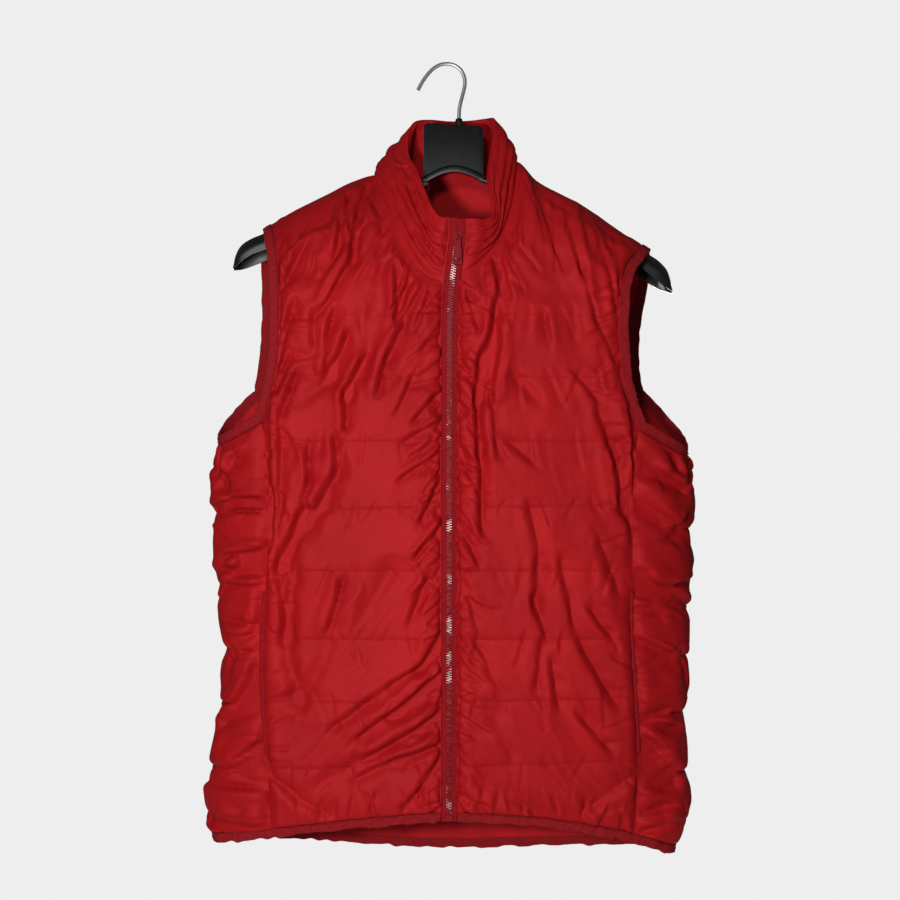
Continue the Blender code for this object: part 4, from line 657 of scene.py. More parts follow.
def fold_heights(x, z, folds, sway, pitch, depth=FOLD_DEPTH):
    """Sum of the folds over a panel. Their lines sway, as those of hanging cloth do.

    A lapped fold is a valley with a steep and a long flank, and the cloth bulges before
    the steep one. Any other is a plain round one.
    """
    swayed_x = (x + sway * noise(x / pitch, z / pitch, 11)
                + 0.3 * sway * noise(x / 9, z / 9, 12))
    swayed_z = z + sway * noise(x / pitch, z / pitch, 13)
    patchy = 0.9 + 0.35 * noise(x / 26, z / 26, 14) + 0.15 * noise(x / 9, z / 9, 15)
    total = np.zeros_like(x)
    for fold in folds:
        reach = 4 * fold.width
        near = ((swayed_x > min(fold.x0, fold.x1) - reach)
                & (swayed_x < max(fold.x0, fold.x1) + reach)
                & (swayed_z > min(fold.z0, fold.z1) - reach)
                & (swayed_z < max(fold.z0, fold.z1) + reach))
        to_x, to_z = swayed_x[near] - fold.x0, swayed_z[near] - fold.z0
        run_x, run_z = fold.x1 - fold.x0, fold.z1 - fold.z0
        length = math.hypot(run_x, run_z)
        along = (to_x * run_x + to_z * run_z) / length
        across = (to_x * run_z - to_z * run_x) / length * (1 if run_z > 0 else -1)
        if fold.lap:
            side = across * fold.lap
            valley = np.where(side > 0, flank(side, 1.2 * fold.width) ** 1.6,
                              flank(side, 2.9 * fold.width) ** 1.5)
            profile = 0.82 * valley - 0.34 * bell(side - 1.5 * fold.width, 1.0 * fold.width)
        else:
            profile = bell(across, 1.15 * fold.width)
        over = np.maximum(np.maximum(-along, along - length), 0)
        total[near] += (depth * fold.height * patchy[near] * profile
                        * flank(over, fold.width * 2.5))
    return total


def drags(places, seed, kind, calm=1.0):
    """Short folds of a kind that start at the places, each (x, z, way)."""
    luck = random.Random(seed)
    height = [calm * limit for limit in kind.height]
    folds = []
    for x, z, way in places:
        run, angle = luck.uniform(*kind.length), math.radians(luck.uniform(*kind.slope))
        over, up = way * run * math.cos(angle), run * math.sin(angle)
        drooped = -1 if over * up > 0 else 1        # the cloth above sags over the crease
        lap = drooped if luck.random() < DROOPED else -drooped
        folds.append(Fold(x, z, x + over, z + up, luck.uniform(2.2, 3.8),
                          -luck.uniform(*height), lap))
    return folds


def uneven(start, end, step, seed):
    """Values from start to end at uneven steps of about the given one."""
    luck = random.Random(seed)
    values = [start]
    while values[-1] < end:
        values.append(values[-1] + step * luck.uniform(0.5, 1.6))
    return values[:-1]


def edge_drags(face, sides, seams, seed):
    """Short folds along the seams, armholes and hem of a front or of the back."""
    folds = []
    for side in sides:
        way = -sign_of(side)
        for own_seed, kind, low, high in ((seed, SEAM_DRAG, -745, -400),
                                          (seed + 2, ARMHOLE_DRAG, -395, -215)):
            heights = uneven(low, high, kind.step, own_seed)
            places = [(float(edge_x(face, side, z)) + 5 * way, z, way) for z in heights]
            folds += drags(places, own_seed + 1, kind)
    low = -180 if "left" in sides else 12
    high = 180 if "right" in sides else -8
    for number, seam in enumerate(seams):
        places = [(x, seam.z + seam.tilt * x + 5, 1)
                  for x in uneven(low, high, QUILT_DRAG.step, seed + 10 + number)]
        folds += drags(places, seed + 30 + number, QUILT_DRAG)
    places = [(x, float(hem_height(x, face == "front")) + 34, 1)
              for x in uneven(low, high, HEM_DRAG.step, seed + 50)]
    return folds + drags(places, seed + 51, HEM_DRAG)


def shoulder_drags(sides, seed):
    """Thin folds that hang from the shoulder seams and from the collar's seam."""
    folds = []
    for side in sides:
        way = sign_of(side)
        calm = 1.0 if side == "left" else 0.6       # the right shoulder hangs smoother
        places = [(way * x, float(read(SHOULDER, "z", way * x)) - 16, way)
                  for x in uneven(75, 172, SHOULDER_DRAG.step, seed + way)]
        folds += drags(places, seed + 61, SHOULDER_DRAG, calm)
        folds += drags(places[1::2], seed + 62, SHOULDER_SHORT_DRAG, calm)
        around = uneven(1.6, 4.6, NECK_DRAG.step, seed + 63)
        stations = [station if side == "left" else 20 - station for station in around]
        points = [stand_point(station, "b") for station in stations]
        places = [(point[0] + 4 * way, point[2] - 10, way) for point in points]
        folds += drags(places, seed + 64, NECK_DRAG, calm)
    return folds


def side_drags(side, seams, seed):
    """Short folds along the edges, the seams and the armpit of a side panel."""
    heights = uneven(-760, -400, SIDE_FRONT_DRAG.step, seed)
    folds = drags([(-44, z, 1) for z in heights], seed + 1, SIDE_FRONT_DRAG)
    folds += drags([(38, z, -1) for z in heights], seed + 2, SIDE_BACK_DRAG)
    for number, seam in enumerate(seams):
        places = [(y, seam.z + 7, 1)
                  for y in uneven(-40, 36, SIDE_QUILT_DRAG.step, seed + 10 + number)]
        folds += drags(places, seed + 30 + number, SIDE_QUILT_DRAG)
    for own_seed, kind, z in ((seed + 50, ARMPIT_DRAG, ARMPIT_DIP[side] - 4),
                              (seed + 52, SIDE_HEM_DRAG, -752)):
        places = [(y, z, 1) for y in uneven(-38, 34, kind.step, own_seed)]
        folds += drags(places, own_seed + 1, kind)
    return folds


def zip_drags(side, seed):
    """Short folds that run down and away from the front zip."""
    way = sign_of(side)
    places = [(float(zip_x(z)) + way * 10, z, way)
              for z in uneven(-750, -222, ZIP_DRAG.step, seed)]
    return drags(places, seed + 1, ZIP_DRAG) + drags(places[::3], seed + 2, ZIP_RISING_DRAG)


def face_drags(zip_side, seams, seed):
    """All the short folds of a front, or of the back, which has no zip side."""
    face, sides = ("front", [zip_side]) if zip_side else ("back", SIDES)
    folds = edge_drags(face, sides, seams, seed) + shoulder_drags(sides, seed + 60)
    return folds + zip_drags(zip_side, seed + 70) if zip_side else folds


def crumples(u, z, drift, seed):
    """Long soft folds and short sharp creases that run down and outwards, unevenly."""
    warp = 7 * noise(u / 45, z / 45, seed) + 2.5 * noise(u / 14, z / 14, seed + 1)
    across = u - drift + warp
    patch = 0.25 + 0.75 * smooth(0.5 + 1.1 * noise(u / 60, z / 70, seed + 2))
    long_folds = creased(across / 30, z / 95, seed + 3)
    short = creased((across + 0.25 * z) / 14, z / 38, seed + 4)
    return 1.7 * patch * long_folds + 0.5 * patch * short


# ---------------------------------------------------------------- panels

class Panel:
    """Rows of inside points from the hem up, the wall's directions and its outer face."""

    def __init__(self, points, normals, heights, placed, seam_gaps, detail):
        self.points = points
        self.normals = normals
        self.detail = detail
        self.inside = pulled_in(points, -SEAM_LAP)
        self.outside = self.inside + normals * heights[..., None]
        rows, columns = heights.shape
        stitched = noise(np.arange(columns) / 2.5, np.arange(rows)[:, None] / 9, 90) > 0.25
        self.held = (placed < HELD_FOLD) | ((seam_gaps < HELD_SEAM) & stitched)
        self.held[0] = self.held[-1] = self.held[:, 0] = self.held[:, -1] = True


def grid_normals(points, outward_y):
    """Directions square to a grid of points, turned to the front or to the back."""
    across = np.gradient(points, axis=1)
    up = np.gradient(points, axis=0)
    normals = unit(np.cross(across, up))
    turn = np.where(normals[..., 1:2] * outward_y > 0, 1, -1)
    return normals * turn


def pulled_in(points, distance):
    """Points with each border moved by the distance into the panel."""
    moved = points.copy()

    def pull(border, inner):
        inward = inner - border
        along = unit(np.gradient(border, axis=0))
        inward -= along * np.sum(inward * along, -1, keepdims=True)
        return unit(inward) * distance

    moved[:, 0] += pull(points[:, 0], points[:, 1])
    moved[:, -1] += pull(points[:, -1], points[:, -2])
    moved[0] += pull(points[0], points[1])
    moved[-1] += pull(points[-1], points[-2])
    return moved


def roundness(face, end):
    """Exponent of the shoulder's section under a point of its upper edge."""
    if face == "back":
        return mix(RIDGE_CURVE, 1, min(abs(end[1]) / NECK_ROUND, 1))
    if end[1] == 0:
        beside_neck = bell(end[0] - neck_x("left" if end[0] < 0 else "right"), NECK_BELL)
        return mix(RIDGE_CURVE, NECK_CURVE, beside_neck)
    return NECK_CURVE


def neck_lean(face, end):
    """Exponent of how the columns lean towards the collar."""
    side = "left" if end[0] < 0 else "right"
    return 1 + NECK_LEAN[face, side] * bell(end[0] - neck_x(side), NECK_BELL)


def panel_points(face, columns, share_of, upper_edge, left_edge, right_edge, low_rows,
                 high_rows):
    """Inside points of a front or of the back, closed over the hanger at the shoulder."""
    lines = []
    tips = upper_edge(columns[0]), upper_edge(columns[-1])
    for column in columns:
        share = share_of(column)
        x = mix(left_edge(HEM_LEVEL), right_edge(HEM_LEVEL), share)
        foot = hem_height(x, face == "front") + BAND
        z = np.linspace(foot, YOKE_Z, low_rows)
        body = face_points(face, mix(left_edge(z), right_edge(z), share), z)
        start, end = body[-1], upper_edge(column)
        curve, lean = roundness(face, end), neck_lean(face, end)
        part = np.linspace(0, 1, high_rows + 1)[1:] ** 0.8
        z = mix(start[2], end[2], part)
        x = mix(start[0], end[0], part ** lean)
        for edge, weight, tip in ((left_edge, 1 - share, tips[0]), (right_edge, share, tips[1])):
            edge_z = mix(YOKE_Z, tip[2], part)
            x = x + weight * (edge(edge_z) - mix(edge(YOKE_Z), tip[0], part))
        y = end[1] + (start[1] - end[1]) * (1 - part ** 2) ** curve
        lines.append(np.concatenate([body, np.stack([x, y, z], -1)]))
    return np.stack(lines, 1)


def wall_directions(points, outward_y, stations, high_rows):
    """Directions of the wall: the body's below the yoke, the seams' own at the top."""
    normals = grid_normals(points, outward_y)
    blend = smooth((points[..., 2:3] - YOKE_Z) / YOKE_BLEND)
    normals = unit(mix(oval_normals(points), normals, blend))
    seam = normals[-1].copy()
    for column, station in enumerate(stations):
        if station is None:
            seam[column, 1] = 0
            seam[column] = unit(seam[column])
        else:
            seam[column] = neck_normal(stand_point(station, "b"))
    kernel = bell(np.arange(-SEAM_EVEN, SEAM_EVEN + 1), 3)
    padded = np.pad(seam, ((SEAM_EVEN, SEAM_EVEN), (0, 0)), mode="edge")
    even = np.stack([np.convolve(padded[:, axis], kernel / kernel.sum(), "valid")
                     for axis in range(3)], -1)
    even[0], even[-1] = seam[0], seam[-1]
    top = points[-1]
    for row in range(len(points) - high_rows, len(points)):
        gaps = np.linalg.norm(points[row][:, None] - top[None], axis=-1).min(1)
        share = np.clip(gaps / TOP_RUN, 0, 1)[:, None]
        normals[row] = unit(mix(even, normals[row], share))
    return normals


def seam_puckers(x, z, nearest, seed, height):
    """Short uneven gathers across the quilting seams."""
    gap, number = nearest
    waves = (noise(x / 9.0, number * 7.3 + z / 60, seed)
             + 0.6 * noise(x / 4.1, number * 3.1 + z / 40, seed + 1))
    patchy = 0.35 + 0.65 * smooth(0.5 + noise(x / 55, number * 5.7, seed + 2))
    return height * waves * patchy * bell(gap - 3, 9) * (1 - bell(gap, 1.2))


def seam_groove(x, nearest):
    """Depth of the fine groove along the quilting stitches, which fades in places."""
    gap, number = nearest
    return (0.26 + 0.34 * noise(x / 30, number * 4.3, 18)) * bell(gap, 1.5)


def levelled(heights, low, high, blend=1.6):
    """Values that level off softly above a low limit and below a high one."""
    over = heights - low
    heights = low + 0.5 * (over + np.sqrt(over ** 2 + blend ** 2))
    under = high - heights
    return high - 0.5 * (under + np.sqrt(under ** 2 + blend ** 2))


def quilted(points, across, seams):
    """Share of a full baffle at each point of a panel."""
    z = points[..., 2]
    return np.stack([baffles(z[:, column], across[:, column], seams, z[0, column],
                             z[-1, column]) for column in range(points.shape[1])], 1)


def from_edges(points):
    """Distances from the first and from the last point of each row."""
    return (np.linalg.norm(points - points[:, :1], axis=-1),
            np.linalg.norm(points - points[:, -1:], axis=-1))


def from_top(points):
    """Distances from a front's or the back's upper edge, above the yoke's seam."""
    gaps = np.full(points.shape[:2], FAR)
    for row in range(len(points)):
        if points[row, :, 2].max() > YOKE_Z:
            apart = np.linalg.norm(points[row][:, None] - points[-1][None], axis=-1)
            gaps[row] = apart.min(1)
    return gaps


def face_heights(points, folds, seams, seed, zip_side=None):
    """Thickness of a front or of the back, its placed folds, seam gaps and small detail."""
    x, z = points[..., 0], points[..., 2]
    above_hem = z - z[0]
    to_left, to_right = from_edges(points)
    to_top = from_top(points)
    puff = quilted(points, x, seams) * (rise(to_left, *STEEP) * rise(to_right, *STEEP))
    puff *= rise(to_top, TOP_START, TOP_RUN)
    puff *= 1 + 0.16 * noise(x / 48, z / 34, seed)
    to_arm = to_left if zip_side else np.minimum(to_left, to_right)
    free = smooth(np.minimum(to_arm, to_top) / FADE)
    placed = fold_heights(x, z, folds, *SWAY) * FOLD_SHARE[zip_side]
    outward = sign_of(zip_side) * x if zip_side else np.abs(x)
    drift = np.interp(-z, *DRIFT) * (1 if zip_side else BACK_DRIFT)
    folded = placed + crumples(outward, z, drift, seed + 60)
    small = face_drags(zip_side, seams, 100 * seed)
    nearest = seam_distance(z, x, seams)
    detail = (fold_heights(x, z, small, *SMALL_SWAY, FACE_SMALL)
              + seam_puckers(x, z, nearest, seed + 20, 0.45) - seam_groove(x, nearest))
    gathers = (1.6 * noise(x / 8.5, z / 60, seed + 7) * bell(above_hem, 26)
               + 1.2 * noise(x / 3.4, z / 40, seed + 14) * bell(above_hem, 9))
    detail = detail + gathers * smooth(above_hem / 3 + 0.35)
    if zip_side:
        to_zip = to_right
        bend = 0.8 * to_zip * noise(z / 45, 0 * z, seed + 11)
        tucks = creased((z + bend) / 17.0, to_zip / 30, seed + 8)
        folded = folded + 1.6 * tucks * bell(to_zip - 4, 22)
        short = creased((z - 0.7 * bend) / 8.0, to_zip / 13, seed + 9)
        detail = detail + 0.7 * short * bell(to_zip - 2, 9)
    beside_arm = smooth((z - ARMHOLE_FOOT) / ARM_BLEND)
    pulls = creased((z + 0.6 * to_arm) / 11.0, to_arm / 22, seed + 10) * bell(to_arm - 4, 15)
    detail = detail + 1.3 * pulls * beside_arm
    heights = WALL + PUFF * puff + folded * np.clip(0.2 + puff * 1.8, 0, 1) * free
    to_right = to_right * (2.5 if zip_side else 1)      # the puckers reach the zip
    edges = smooth(np.minimum(np.minimum(to_left, to_right), to_top) / DETAIL_FADE)
    return (levelled(heights, SLIM, STOUT), placed, nearest[0],
            levelled(detail * edges, DETAIL_LOW, DETAIL_HIGH))


def front_panel(side, fine):
    """A front. Its columns run from the armhole to the collar at 1 and to the zip at 2."""
    neck_station, zip_station = NECK_STATIONS[side], ZIP_STATIONS[side]
    tip_x = sign_of(side) * ARMHOLE["front", side][0].x
    run = zip_station - neck_station

    def upper_edge(column):
        if column <= 1:
            x = mix(tip_x, neck_x(side), column)
            return np.array([x, 0, read(SHOULDER, "z", x)])
        return stand_point(neck_station + (column - 1) * run, "b")

    def share_of(column):
        neck = NECK_SHARE[side]
        return column * neck if column <= 1 else neck + (column - 1) * (1 - neck)

    low_rows, high_rows, over_count, neck_count = (int(run / fine) for run in FRONT_RUNS)
    shoulder = np.linspace(0, 1, over_count)
    stations = np.linspace(neck_station, zip_station, neck_count)
    columns = list(shoulder[:-1]) + [1 + (station - neck_station) / run for station in stations]
    points = panel_points("front", columns, share_of, upper_edge,
                          lambda z: edge_x("front", side, z),
                          lambda z: zip_x(z) + sign_of(side) * ZIP_HALF, low_rows, high_rows)
    marks = [None] * (len(shoulder) - 1) + [round(float(station), 6) for station in stations]
    normals = wall_directions(points, -1, marks, high_rows)
    return Panel(points, normals, *face_heights(points, FRONT_FOLDS, FRONT_QUILT,
                                                SEEDS["front", side], side))


def back_panel(fine):
    """The back. Its columns run over one shoulder to 1, the neck to 2 and the other to 3."""
    first, last = NECK_STATIONS["left"], NECK_STATIONS["right"]
    run = last - first

    def upper_edge(column):
        if 1 < column < 2:
            return stand_point(first + (column - 1) * run, "b")
        side, share = ("left", column) if column <= 1 else ("right", 3 - column)
        x = mix(sign_of(side) * ARMHOLE["back", side][0].x, neck_x(side), share)
        return np.array([x, 0, read(SHOULDER, "z", x)])

    def share_of(column):
        low, high = BACK_SHARES
        if column <= 1:
            return low * column
        if column <= 2:
            return mix(low, high, column - 1)
        return mix(high, 1, column - 2)

    low_rows, high_rows, over_count, neck_count = (int(run / fine) for run in BACK_RUNS)
    shoulder = np.linspace(0, 1, over_count)[:-1]
    stations = np.linspace(first, last, neck_count)
    columns = list(shoulder) + [1 + (station - first) / run for station in stations]
    columns += [3 - share for share in shoulder[::-1]]
    points = panel_points("back", columns, share_of, upper_edge,
                          lambda z: edge_x("back", "left", z),
                          lambda z: edge_x("back", "right", z), low_rows, high_rows)
    blank = [None] * len(shoulder)
    normals = wall_directions(points, 1, blank + list(stations) + blank, high_rows)
    return Panel(points, normals, *face_heights(points, BACK_FOLDS, BACK_QUILT, SEEDS["back"]))


def side_panel(side, fine):
    """A side panel, with its rows cut to the armpit's dip and to the hem."""
    front_top, back_top = (ARMHOLE[face, side][-1].z for face in ("front", "back"))
    dip = ARMPIT_DIP[side] - mix(front_top, back_top, 0.5)
    column_count, row_count = (int(run / fine) for run in SIDE_RUNS)
    lines = []
    for share in np.linspace(0, 1, column_count):
        top = mix(front_top, back_top, share) + dip * math.sin(math.pi * share)
        place = side_points(side, share, np.array([HEM_LEVEL]))[0]
        foot = hem_height(place[0], place[1] < 0) + BAND
        lines.append(side_points(side, share, np.linspace(foot, top, row_count)))
    points = np.stack(lines, 1)
    y, z = points[..., 1], points[..., 2]
    above_hem, below_top = z - z[0], z[-1] - z
    seams, seed = SIDE_QUILT[side], SEEDS["side", side]
    to_front, to_back = from_edges(points)
    puff = quilted(points, y, seams) * (0.92 * rise(to_front, *STEEP) * rise(to_back, *STEEP))
    puff *= 0.92 + 0.2 * noise(y / 26, z / 28, seed)
    placed = fold_heights(y, z, SIDE_FOLDS[side], *SWAY)
    folded = ((0.75 + 0.75 * bell(y + 40, 17)) * placed       # deepest where the front shows
              + 0.6 * creased(y / 26 + z / 60, z / 40 - y / 50, seed + 5))
    borders = np.minimum(np.minimum(to_front, to_back), below_top)
    nearest = seam_distance(z, y, seams)
    small = side_drags(side, seams, 100 * seed)
    detail = (fold_heights(y, z, small, *SMALL_SWAY, SIDE_SMALL)
              + seam_puckers(y, z, nearest, seed + 30, 1.1) - seam_groove(y, nearest))
    detail = detail + 1.5 * noise(y / 8.5, z / 60, seed + 7) * bell(above_hem, 26)
    detail = detail + 1.6 * creased(y / 9.0, below_top / 30, seed + 8) * bell(below_top - 3, 24)
    detail = detail * smooth(borders / DETAIL_FADE)
    heights = (WALL + PUFF * puff
               + folded * np.clip(puff * 1.6, 0, 1) * smooth(borders / FADE))
    return Panel(points, oval_normals(points), levelled(heights, SLIM, STOUT), placed,
                 nearest[0], 0.8 * levelled(detail, DETAIL_LOW, DETAIL_HIGH))


def collar_points(stations, shares):
    """Inside points of the stand collar, which swells behind and follows the zip in front."""
    base, top = (np.stack([stand_point(float(station), end) for station in stations])
                 for end in "bt")
    points = mix(base[None], top[None], shares[:, None, None])
    away = unit(points * COLLAR_AWAY)
    middle, depth = COLLAR_SWELL
    bulge = (COLLAR_BULGE * np.sin(math.pi * shares)[:, None]
             * bell(points[..., 1] - middle, depth))
    points = points + away * bulge[..., None]
    for side, end in ZIP_STATIONS.items():
        nearness = np.maximum(1 - np.abs(stations - end), 0)
        straight = mix(stand_point(end, "b"), stand_point(end, "t"), shares[:, None])
        level = straight[:, 2]
        on_zip = np.stack([zip_x(level) + sign_of(side) * ZIP_HALF, zip_front_y(level), level],
                          -1)
        points = points + (on_zip - straight)[:, None] * nearness[None, :, None]
    return points


def collar_directions(points, base, shares):
    """Directions of the collar's wall: the seam's own at its base."""
    normals = unit(np.cross(np.gradient(points, axis=1), np.gradient(points, axis=0)))
    outward = normals[..., 0] * points[..., 0] + normals[..., 1] * points[..., 1] > 0
    normals = np.where(outward[..., None], normals, -normals)
    seam = np.stack([neck_normal(point) for point in base])
    return unit(mix(seam[None], normals, smooth(shares / COLLAR_BLEND)[:, None, None]))


def collar_panel(fine):
    """The stand collar, which meets the zip at both ends."""
    marks = (0, 1, COLLAR[-1].station - 1, COLLAR[-1].station)
    stations = np.unique(np.concatenate([
        np.linspace(low, high, count)
        for low, high, count in zip(marks, marks[1:], COLLAR_COUNTS)]))
    shares = np.linspace(0, 1, int(COLLAR_RUN / fine))
    base = np.stack([stand_point(float(station), "b") for station in stations])
    points = collar_points(stations, shares)
    normals = collar_directions(points, base, shares)
    ends = [np.linalg.norm(base - base[place], axis=-1) for place in (0, -1)]
    along = rise(ends[0], *COLLAR_STEEP) * rise(ends[1], *COLLAR_STEEP)
    share = shares[:, None]
    puff = np.sin(math.pi * share) ** 0.9 * along
    edge = (COLLAR_RIM - WALL) * share ** 3 * along
    run = np.cumsum(np.linalg.norm(np.diff(base, axis=0, prepend=base[:1]), axis=-1))
    along_mm, up_mm = np.broadcast_arrays(run[None, :], share * COLLAR_TALL)
    folds = [Fold(np.interp(fold.x0, stations, run), fold.z0 * COLLAR_TALL,
                  np.interp(fold.x1, stations, run), fold.z1 * COLLAR_TALL, *fold[4:])
             for fold in COLLAR_FOLDS]
    placed = COLLAR_SHARE * fold_heights(along_mm, up_mm, folds, *COLLAR_SWAY)
    sag = 5 * noise(along_mm / 30, 0 * up_mm, 40)
    lively = 0.35 + 0.65 * smooth((0.62 * run[-1] - along_mm) / 60)     # calmer on the right
    folded = placed + 0.8 * lively * creased(along_mm / 52, (up_mm + sag) / 12, 41)
    folded = folded + 0.5 * lively * creased(along_mm / 22, (up_mm - sag) / 6, 42)
    folded = folded + 0.8 * noise(along_mm / 7, up_mm / 14, 43) * bell(up_mm - COLLAR_TALL, 12)
    heights = WALL + COLLAR_PUFF * puff + edge + folded * np.clip(puff * 1.8, 0, 1)
    no_seams = np.full(placed.shape, FAR)
    return Panel(points, normals, np.maximum(heights, SLIM), placed, no_seams, 0 * placed)


# ---------------------------------------------------------------- settling of the cloth

def evened(move):
    """Moves averaged with their neighbours', which takes the steps out of held creases."""
    for axis in (0, 1):
        padded = np.pad(move, [(2, 2) if axis == side else (0, 0) for side in range(3)],
                        mode="edge")
        count = move.shape[axis]
        move = sum(weight * np.take(padded, np.arange(start, start + count), axis)
                   for start, weight in enumerate((0.1, 0.23, 0.34, 0.23, 0.1)))
    return move


def resized(grid, rows, columns):
    """A grid of vectors read at another number of rows and columns."""
    for axis, count in ((0, rows), (1, columns)):
        at = np.linspace(0, grid.shape[axis] - 1, count)
        low = np.minimum(at.astype(int), grid.shape[axis] - 2)
        share = (at - low).reshape((-1, 1, 1) if axis == 0 else (1, -1, 1))
        grid = mix(np.take(grid, low, axis), np.take(grid, low + 1, axis), share)
    return grid


def soft_shell(name, panel):
    """A panel's outer face as cloth, cut wider than it hangs and held at its creases."""
    rows, columns = panel.outside.shape[:2]
    hung = panel.outside.reshape(-1, 3) * SOFT_SCALE
    data = bpy.data.meshes.new(name)
    data.from_pydata(hung.tolist(), [], grid_quads(rows, columns)[1].tolist())
    item = linked(name, data)
    item.shape_key_add(name="hung")
    cut_key = item.shape_key_add(name="cut")
    ease = EASE["collar" if name == "collar" else "body"]
    cut_key.data.foreach_set("co", (hung * (1 + np.array(ease))).ravel())
    group = item.vertex_groups.new(name="held")
    group.add(np.flatnonzero(panel.held.ravel()).tolist(), 1.0, "REPLACE")
    cloth = item.modifiers.new("cloth", "CLOTH")
    for key, value in CLOTH.items():
        setattr(cloth.settings, key, value)
    cloth.settings.vertex_group_mass = "held"
    cloth.settings.rest_shape_key = cut_key
    cloth.collision_settings.use_collision = False
    cloth.point_cache.frame_start, cloth.point_cache.frame_end = 1, SOFT_STEPS
    return item


def settle(cut):
    """Moves of the shells as they hang: each is cut wider than its wall and buckles."""
    scene = bpy.context.scene
    items = {name: soft_shell(name, panel) for name, panel in cut.items()}
    moves = {}
    for step in range(1, SOFT_STEPS + 1):
        scene.frame_set(step)
    graph = bpy.context.evaluated_depsgraph_get()
    for name, item in items.items():
        panel = cut[name]
        soft = np.empty(panel.outside.size)
        item.evaluated_get(graph).data.vertices.foreach_get("co", soft)
        soft = soft.reshape(panel.outside.shape) / SOFT_SCALE
        move = soft - panel.outside
        far = np.linalg.norm(move, axis=-1, keepdims=True)
        cap = SOFT_CAP.get(name, SOFT_CAP_FACE)
        moves[name] = evened(move * np.minimum(1, cap / np.maximum(far, 1e-6)))
    for item in items.values():
        data = item.data
        bpy.data.objects.remove(item)
        bpy.data.meshes.remove(data)
    scene.frame_set(1)
    return moves


# ---------------------------------------------------------------- meshes

def linked(name, data):
    """New object at the origin, in the scene."""
    item = bpy.data.objects.new(name, data)
    bpy.context.scene.collection.objects.link(item)
    return item


def coat(data, material):
    """The material in place of all others."""
    data.materials.clear()
    data.materials.append(material)


def mesh_object(name, vertices, faces, material):
    """Smooth object from points in millimetres, with its faces turned outwards."""
    data = bpy.data.meshes.new(name)
    data.from_pydata((np.asarray(vertices, float) * MM).tolist(), [], faces)
    data.update()
    mesh = bmesh.new()
    mesh.from_mesh(data)
    bmesh.ops.recalc_face_normals(mesh, faces=mesh.faces)
    mesh.to_mesh(data)
    mesh.free()
    data.shade_smooth()
    data.set_sharp_from_angle(angle=math.radians(SHARP))
    data.materials.append(material)
    return linked(name, data)


def grid_quads(rows, columns):
    """Numbers of a grid's points, and its faces."""
    number = np.arange(rows * columns).reshape(rows, columns)
    quads = np.stack([number[:-1, :-1], number[:-1, 1:], number[1:, 1:], number[1:, :-1]],
                     -1).reshape(-1, 4)
    return number, quads


def wall_object(name, panel, material, lining):
    """Cloth wall between a panel's plain inside and its quilted outer face.

    Its borders reach a little into their neighbours, as a seam's turnings do, so that no
    light comes through.
    """
    rows, columns = panel.inside.shape[:2]
    down = np.unique(np.append(np.arange(0, rows, INSIDE_STRIDE), rows - 1))
    over = np.unique(np.append(np.arange(0, columns, INSIDE_STRIDE), columns - 1))
    inside = panel.inside[down][:, over].reshape(-1, 3)
    number, quads = grid_quads(rows, columns)
    coarse, coarse_quads = grid_quads(len(down), len(over))
    faces = coarse_quads[:, ::-1].tolist() + (quads + len(inside)).tolist()
    outer = number + len(inside)
    for marks, low_line, line in (
            (over, coarse[0], outer[0]), (over, coarse[-1], outer[-1]),
            (down, coarse[:, 0], outer[:, 0]), (down, coarse[:, -1], outer[:, -1])):
        for step, (start, end) in enumerate(zip(marks, marks[1:])):
            faces.append([int(low_line[step]), int(low_line[step + 1]),
                          *line[start:end + 1][::-1].tolist()])
    vertices = np.concatenate([inside, panel.outside.reshape(-1, 3)])
    item = mesh_object(name, vertices, faces, material)
    item.data.materials.append(lining)
    for polygon in item.data.polygons[:len(coarse_quads)]:
        polygon.material_index = 1
    return item


def loft_object(name, rings, material, closed=False):
    """Skin over rings of as many points each, with flat ends unless it closes on itself."""
    rings = np.asarray(rings, float)
    count, sides = rings.shape[:2]
    number = np.arange(count * sides).reshape(count, sides)
    if closed:
        number = np.concatenate([number, number[:1]])
    first, last = number[:-1], number[1:]
    faces = np.stack([first, np.roll(first, -1, 1), np.roll(last, -1, 1), last],
                     -1).reshape(-1, 4).tolist()
    if not closed:
        faces += [number[0].tolist(), number[-1][::-1].tolist()]
    return mesh_object(name, rings.reshape(-1, 3), faces, material)


def beside(path, normals, closed):
    """Directions in the cloth square to a path."""
    if closed:
        along = np.roll(path, -1, 0) - np.roll(path, 1, 0)
    else:
        along = np.gradient(path, axis=0)
    return unit(np.cross(along, normals))


def even_steps(path, normals, step, closed):
    """A path and its normals at even distances."""
    if closed:
        path = np.concatenate([path, path[:1]])
        normals = np.concatenate([normals, normals[:1]])
    run = np.concatenate([[0], np.cumsum(np.linalg.norm(np.diff(path, axis=0), axis=-1))])
    count = int(run[-1] / step)
    at = np.linspace(0, run[-1], count + 1)
    if closed:
        at = at[:-1]
    path = np.stack([np.interp(at, run, path[:, axis]) for axis in range(3)], -1)
    normals = np.stack([np.interp(at, run, normals[:, axis]) for axis in range(3)], -1)
    return path, unit(normals)


def softened(values, reach, closed):
    """Running mean along a path."""
    if closed:
        padded = np.concatenate([values[-reach:], values, values[:reach]])
    else:
        padded = np.pad(values, ((reach, reach), (0, 0)), mode="edge")
    kernel = np.ones(2 * reach + 1) / (2 * reach + 1)
    return np.stack([np.convolve(padded[:, axis], kernel, "valid")
                     for axis in range(values.shape[1])], -1)


# share of the width and of the thickness
BAND_SECTION = [(0, 0), (0, 0.6), (0.04, 0.85), (0.12, 1), (0.3, 0.96), (0.5, 1.0), (0.7, 0.96),
                (0.86, 1), (0.95, 0.85), (1, 0.55), (1, 0)]


